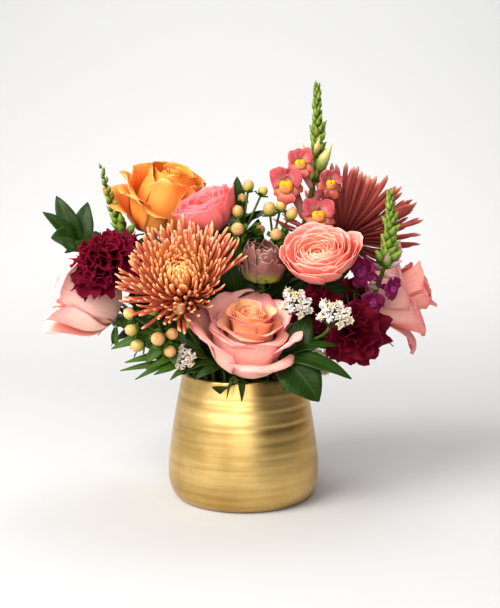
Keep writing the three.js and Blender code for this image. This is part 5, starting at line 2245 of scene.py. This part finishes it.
# ---- the studio
@dataclass
class Studio:
    """A pale floor that sweeps up behind, soft lights and the camera. Metres and degrees."""

    camera_spot: Spot = (0.0052, -0.838, 0.272)
    camera_pitch: float = 82.0
    lens: float = 63.3
    floor_half_width: float = 4.0
    floor_front: float = -2.4
    floor_back: float = 1.1
    sweep_radius: float = 2.5
    sweep_steps: int = 24
    wall_height: float = 3.0
    floor_tone: Colour = (0.49, 0.49, 0.49)
    sensor_width: float = 36.0
    sky: float = 0.72  # how bright the world is

    def make_floor(self) -> None:
        """Makes the floor from a plane, with its back edge drawn up in a curve."""
        floor = fresh(bpy.ops.mesh.primitive_plane_add, size=2)
        floor.name = "floor"
        with editing(floor):
            bpy.ops.mesh.select_all(action="SELECT")
            half = (self.floor_back - self.floor_front) / 2
            bpy.ops.transform.resize(value=(self.floor_half_width, half, 1))
            bpy.ops.transform.translate(value=(0, self.floor_back - half, 0))
            bpy.ops.mesh.select_mode(type="EDGE")
            bpy.ops.mesh.select_all(action="DESELECT")
            mesh = bmesh.from_edit_mesh(floor.data)
            for edge in mesh.edges:
                edge.select = all(vertex.co.y > 0 for vertex in edge.verts)
            mesh.select_flush_mode()
            bmesh.update_edit_mesh(floor.data)
            turns = np.radians(np.linspace(0, 90, self.sweep_steps + 1))
            for start, end in zip(turns, turns[1:]):
                ahead = self.sweep_radius * (math.sin(end) - math.sin(start))
                rise = self.sweep_radius * (math.cos(start) - math.cos(end))
                extrude(0, ahead, rise)
            extrude(0, 0, self.wall_height)
            bpy.ops.mesh.select_mode(type="VERT")
        bpy.ops.object.shade_smooth()
        floor.data.materials.append(self.plain("pale floor", self.floor_tone))

    def plain(self, name: str, tone: Colour) -> bpy.types.Material:
        """Builds a plain matt material for the studio's own things.

        Args:
            name: its name.
            tone: its colour.

        Returns:
            The material.
        """
        material = bpy.data.materials.new(name)
        material.use_nodes = True
        shader = material.node_tree.nodes["Principled BSDF"]
        shader.inputs["Base Color"].default_value = opaque(tone)
        shader.inputs["Roughness"].default_value = 0.9
        return material

    def add_light(self, name: str, spot: Spot, aim: Spot, size: float, power: float, tone: Colour) -> None:
        """Adds a square soft light.

        Args:
            name: its name.
            spot: where it hangs.
            aim: the spot that it looks at.
            size: the length of its sides.
            power: its power in watts.
            tone: its colour.
        """
        data = bpy.data.lights.new(name, "AREA")
        data.shape = "SQUARE"
        data.size = size
        data.energy = power
        data.color = tone
        light = bpy.data.objects.new(name, data)
        bpy.context.collection.objects.link(light)
        light.location = spot
        light.rotation_euler = (Vector(aim) - Vector(spot)).to_track_quat("-Z", "Y").to_euler()

    def add_card(self, name: str, spot: Spot, aim: Spot, size: float, tone: Colour) -> None:
        """Adds a flat card, which the pot mirrors on that side.

        Args:
            name: its name.
            spot: where it stands.
            aim: the spot that it faces.
            size: the length of its sides.
            tone: its colour.
        """
        card = fresh(bpy.ops.mesh.primitive_plane_add, size=size)
        card.name = name
        card.location = spot
        card.rotation_euler = (Vector(aim) - Vector(spot)).to_track_quat("Z", "Y").to_euler()
        card.data.materials.append(self.plain(name, tone))
        card.visible_camera = False

    def make(self) -> None:
        """Makes the studio."""
        self.make_floor()
        white = (1.0, 1.0, 1.0)
        self.add_light("key", (-1.2, -1.1, 1.35), (0, 0, 0.17), 1.3, 72, (1.0, 0.98, 0.95))
        self.add_light("front fill", (-0.12, -2.0, 1.0), (0, 0, 0.15), 1.2, 22, (1.0, 0.99, 0.97))
        self.add_light("top", (0.3, 0.7, 1.7), (0, 0, 0.2), 1.0, 12, white)
        self.add_light("backdrop wash", (0, 1.3, 1.9), (0, 3.4, 0.9), 2.4, 48, white)
        self.add_card("dark card", (1.5, -1.0, 0.6), (0, 0, 0.1), 3.0, (0.02, 0.018, 0.015))
        self.add_card("warm card", (1.75, 0.85, 0.8), (0, 0, 0.1), 1.7, (0.20, 0.085, 0.02))
        world = bpy.context.scene.world or bpy.data.worlds.new("studio")
        bpy.context.scene.world = world
        world.use_nodes = True
        background = world.node_tree.nodes["Background"]
        background.inputs["Color"].default_value = opaque(white)
        background.inputs["Strength"].default_value = self.sky
        data = bpy.data.cameras.new("camera")
        data.lens = self.lens
        data.sensor_width = self.sensor_width
        camera = bpy.data.objects.new("camera", data)
        bpy.context.collection.objects.link(camera)
        camera.location = self.camera_spot
        camera.rotation_euler = (math.radians(self.camera_pitch), 0, 0)
        bpy.context.scene.camera = camera
        bpy.context.scene.view_settings.view_transform = "Standard"


def main() -> None:
    """Loads the frame, makes every piece in order and sets the studio round them."""
    logging.basicConfig(level=logging.INFO, format="%(message)s")
    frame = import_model()
    Studio().make()
    Pot().make()
    water = frame["nodes"]["water"]
    water.data.materials.clear()
    water.data.materials.append(WATER.material())
    for listed in (roses, round_blooms, spider_blooms, snapdragons, berries, statice, foliage):
        for part in listed():
            LOG.info("making %s", part.name)
            part.make()


if __name__ == "__main__":
    main()
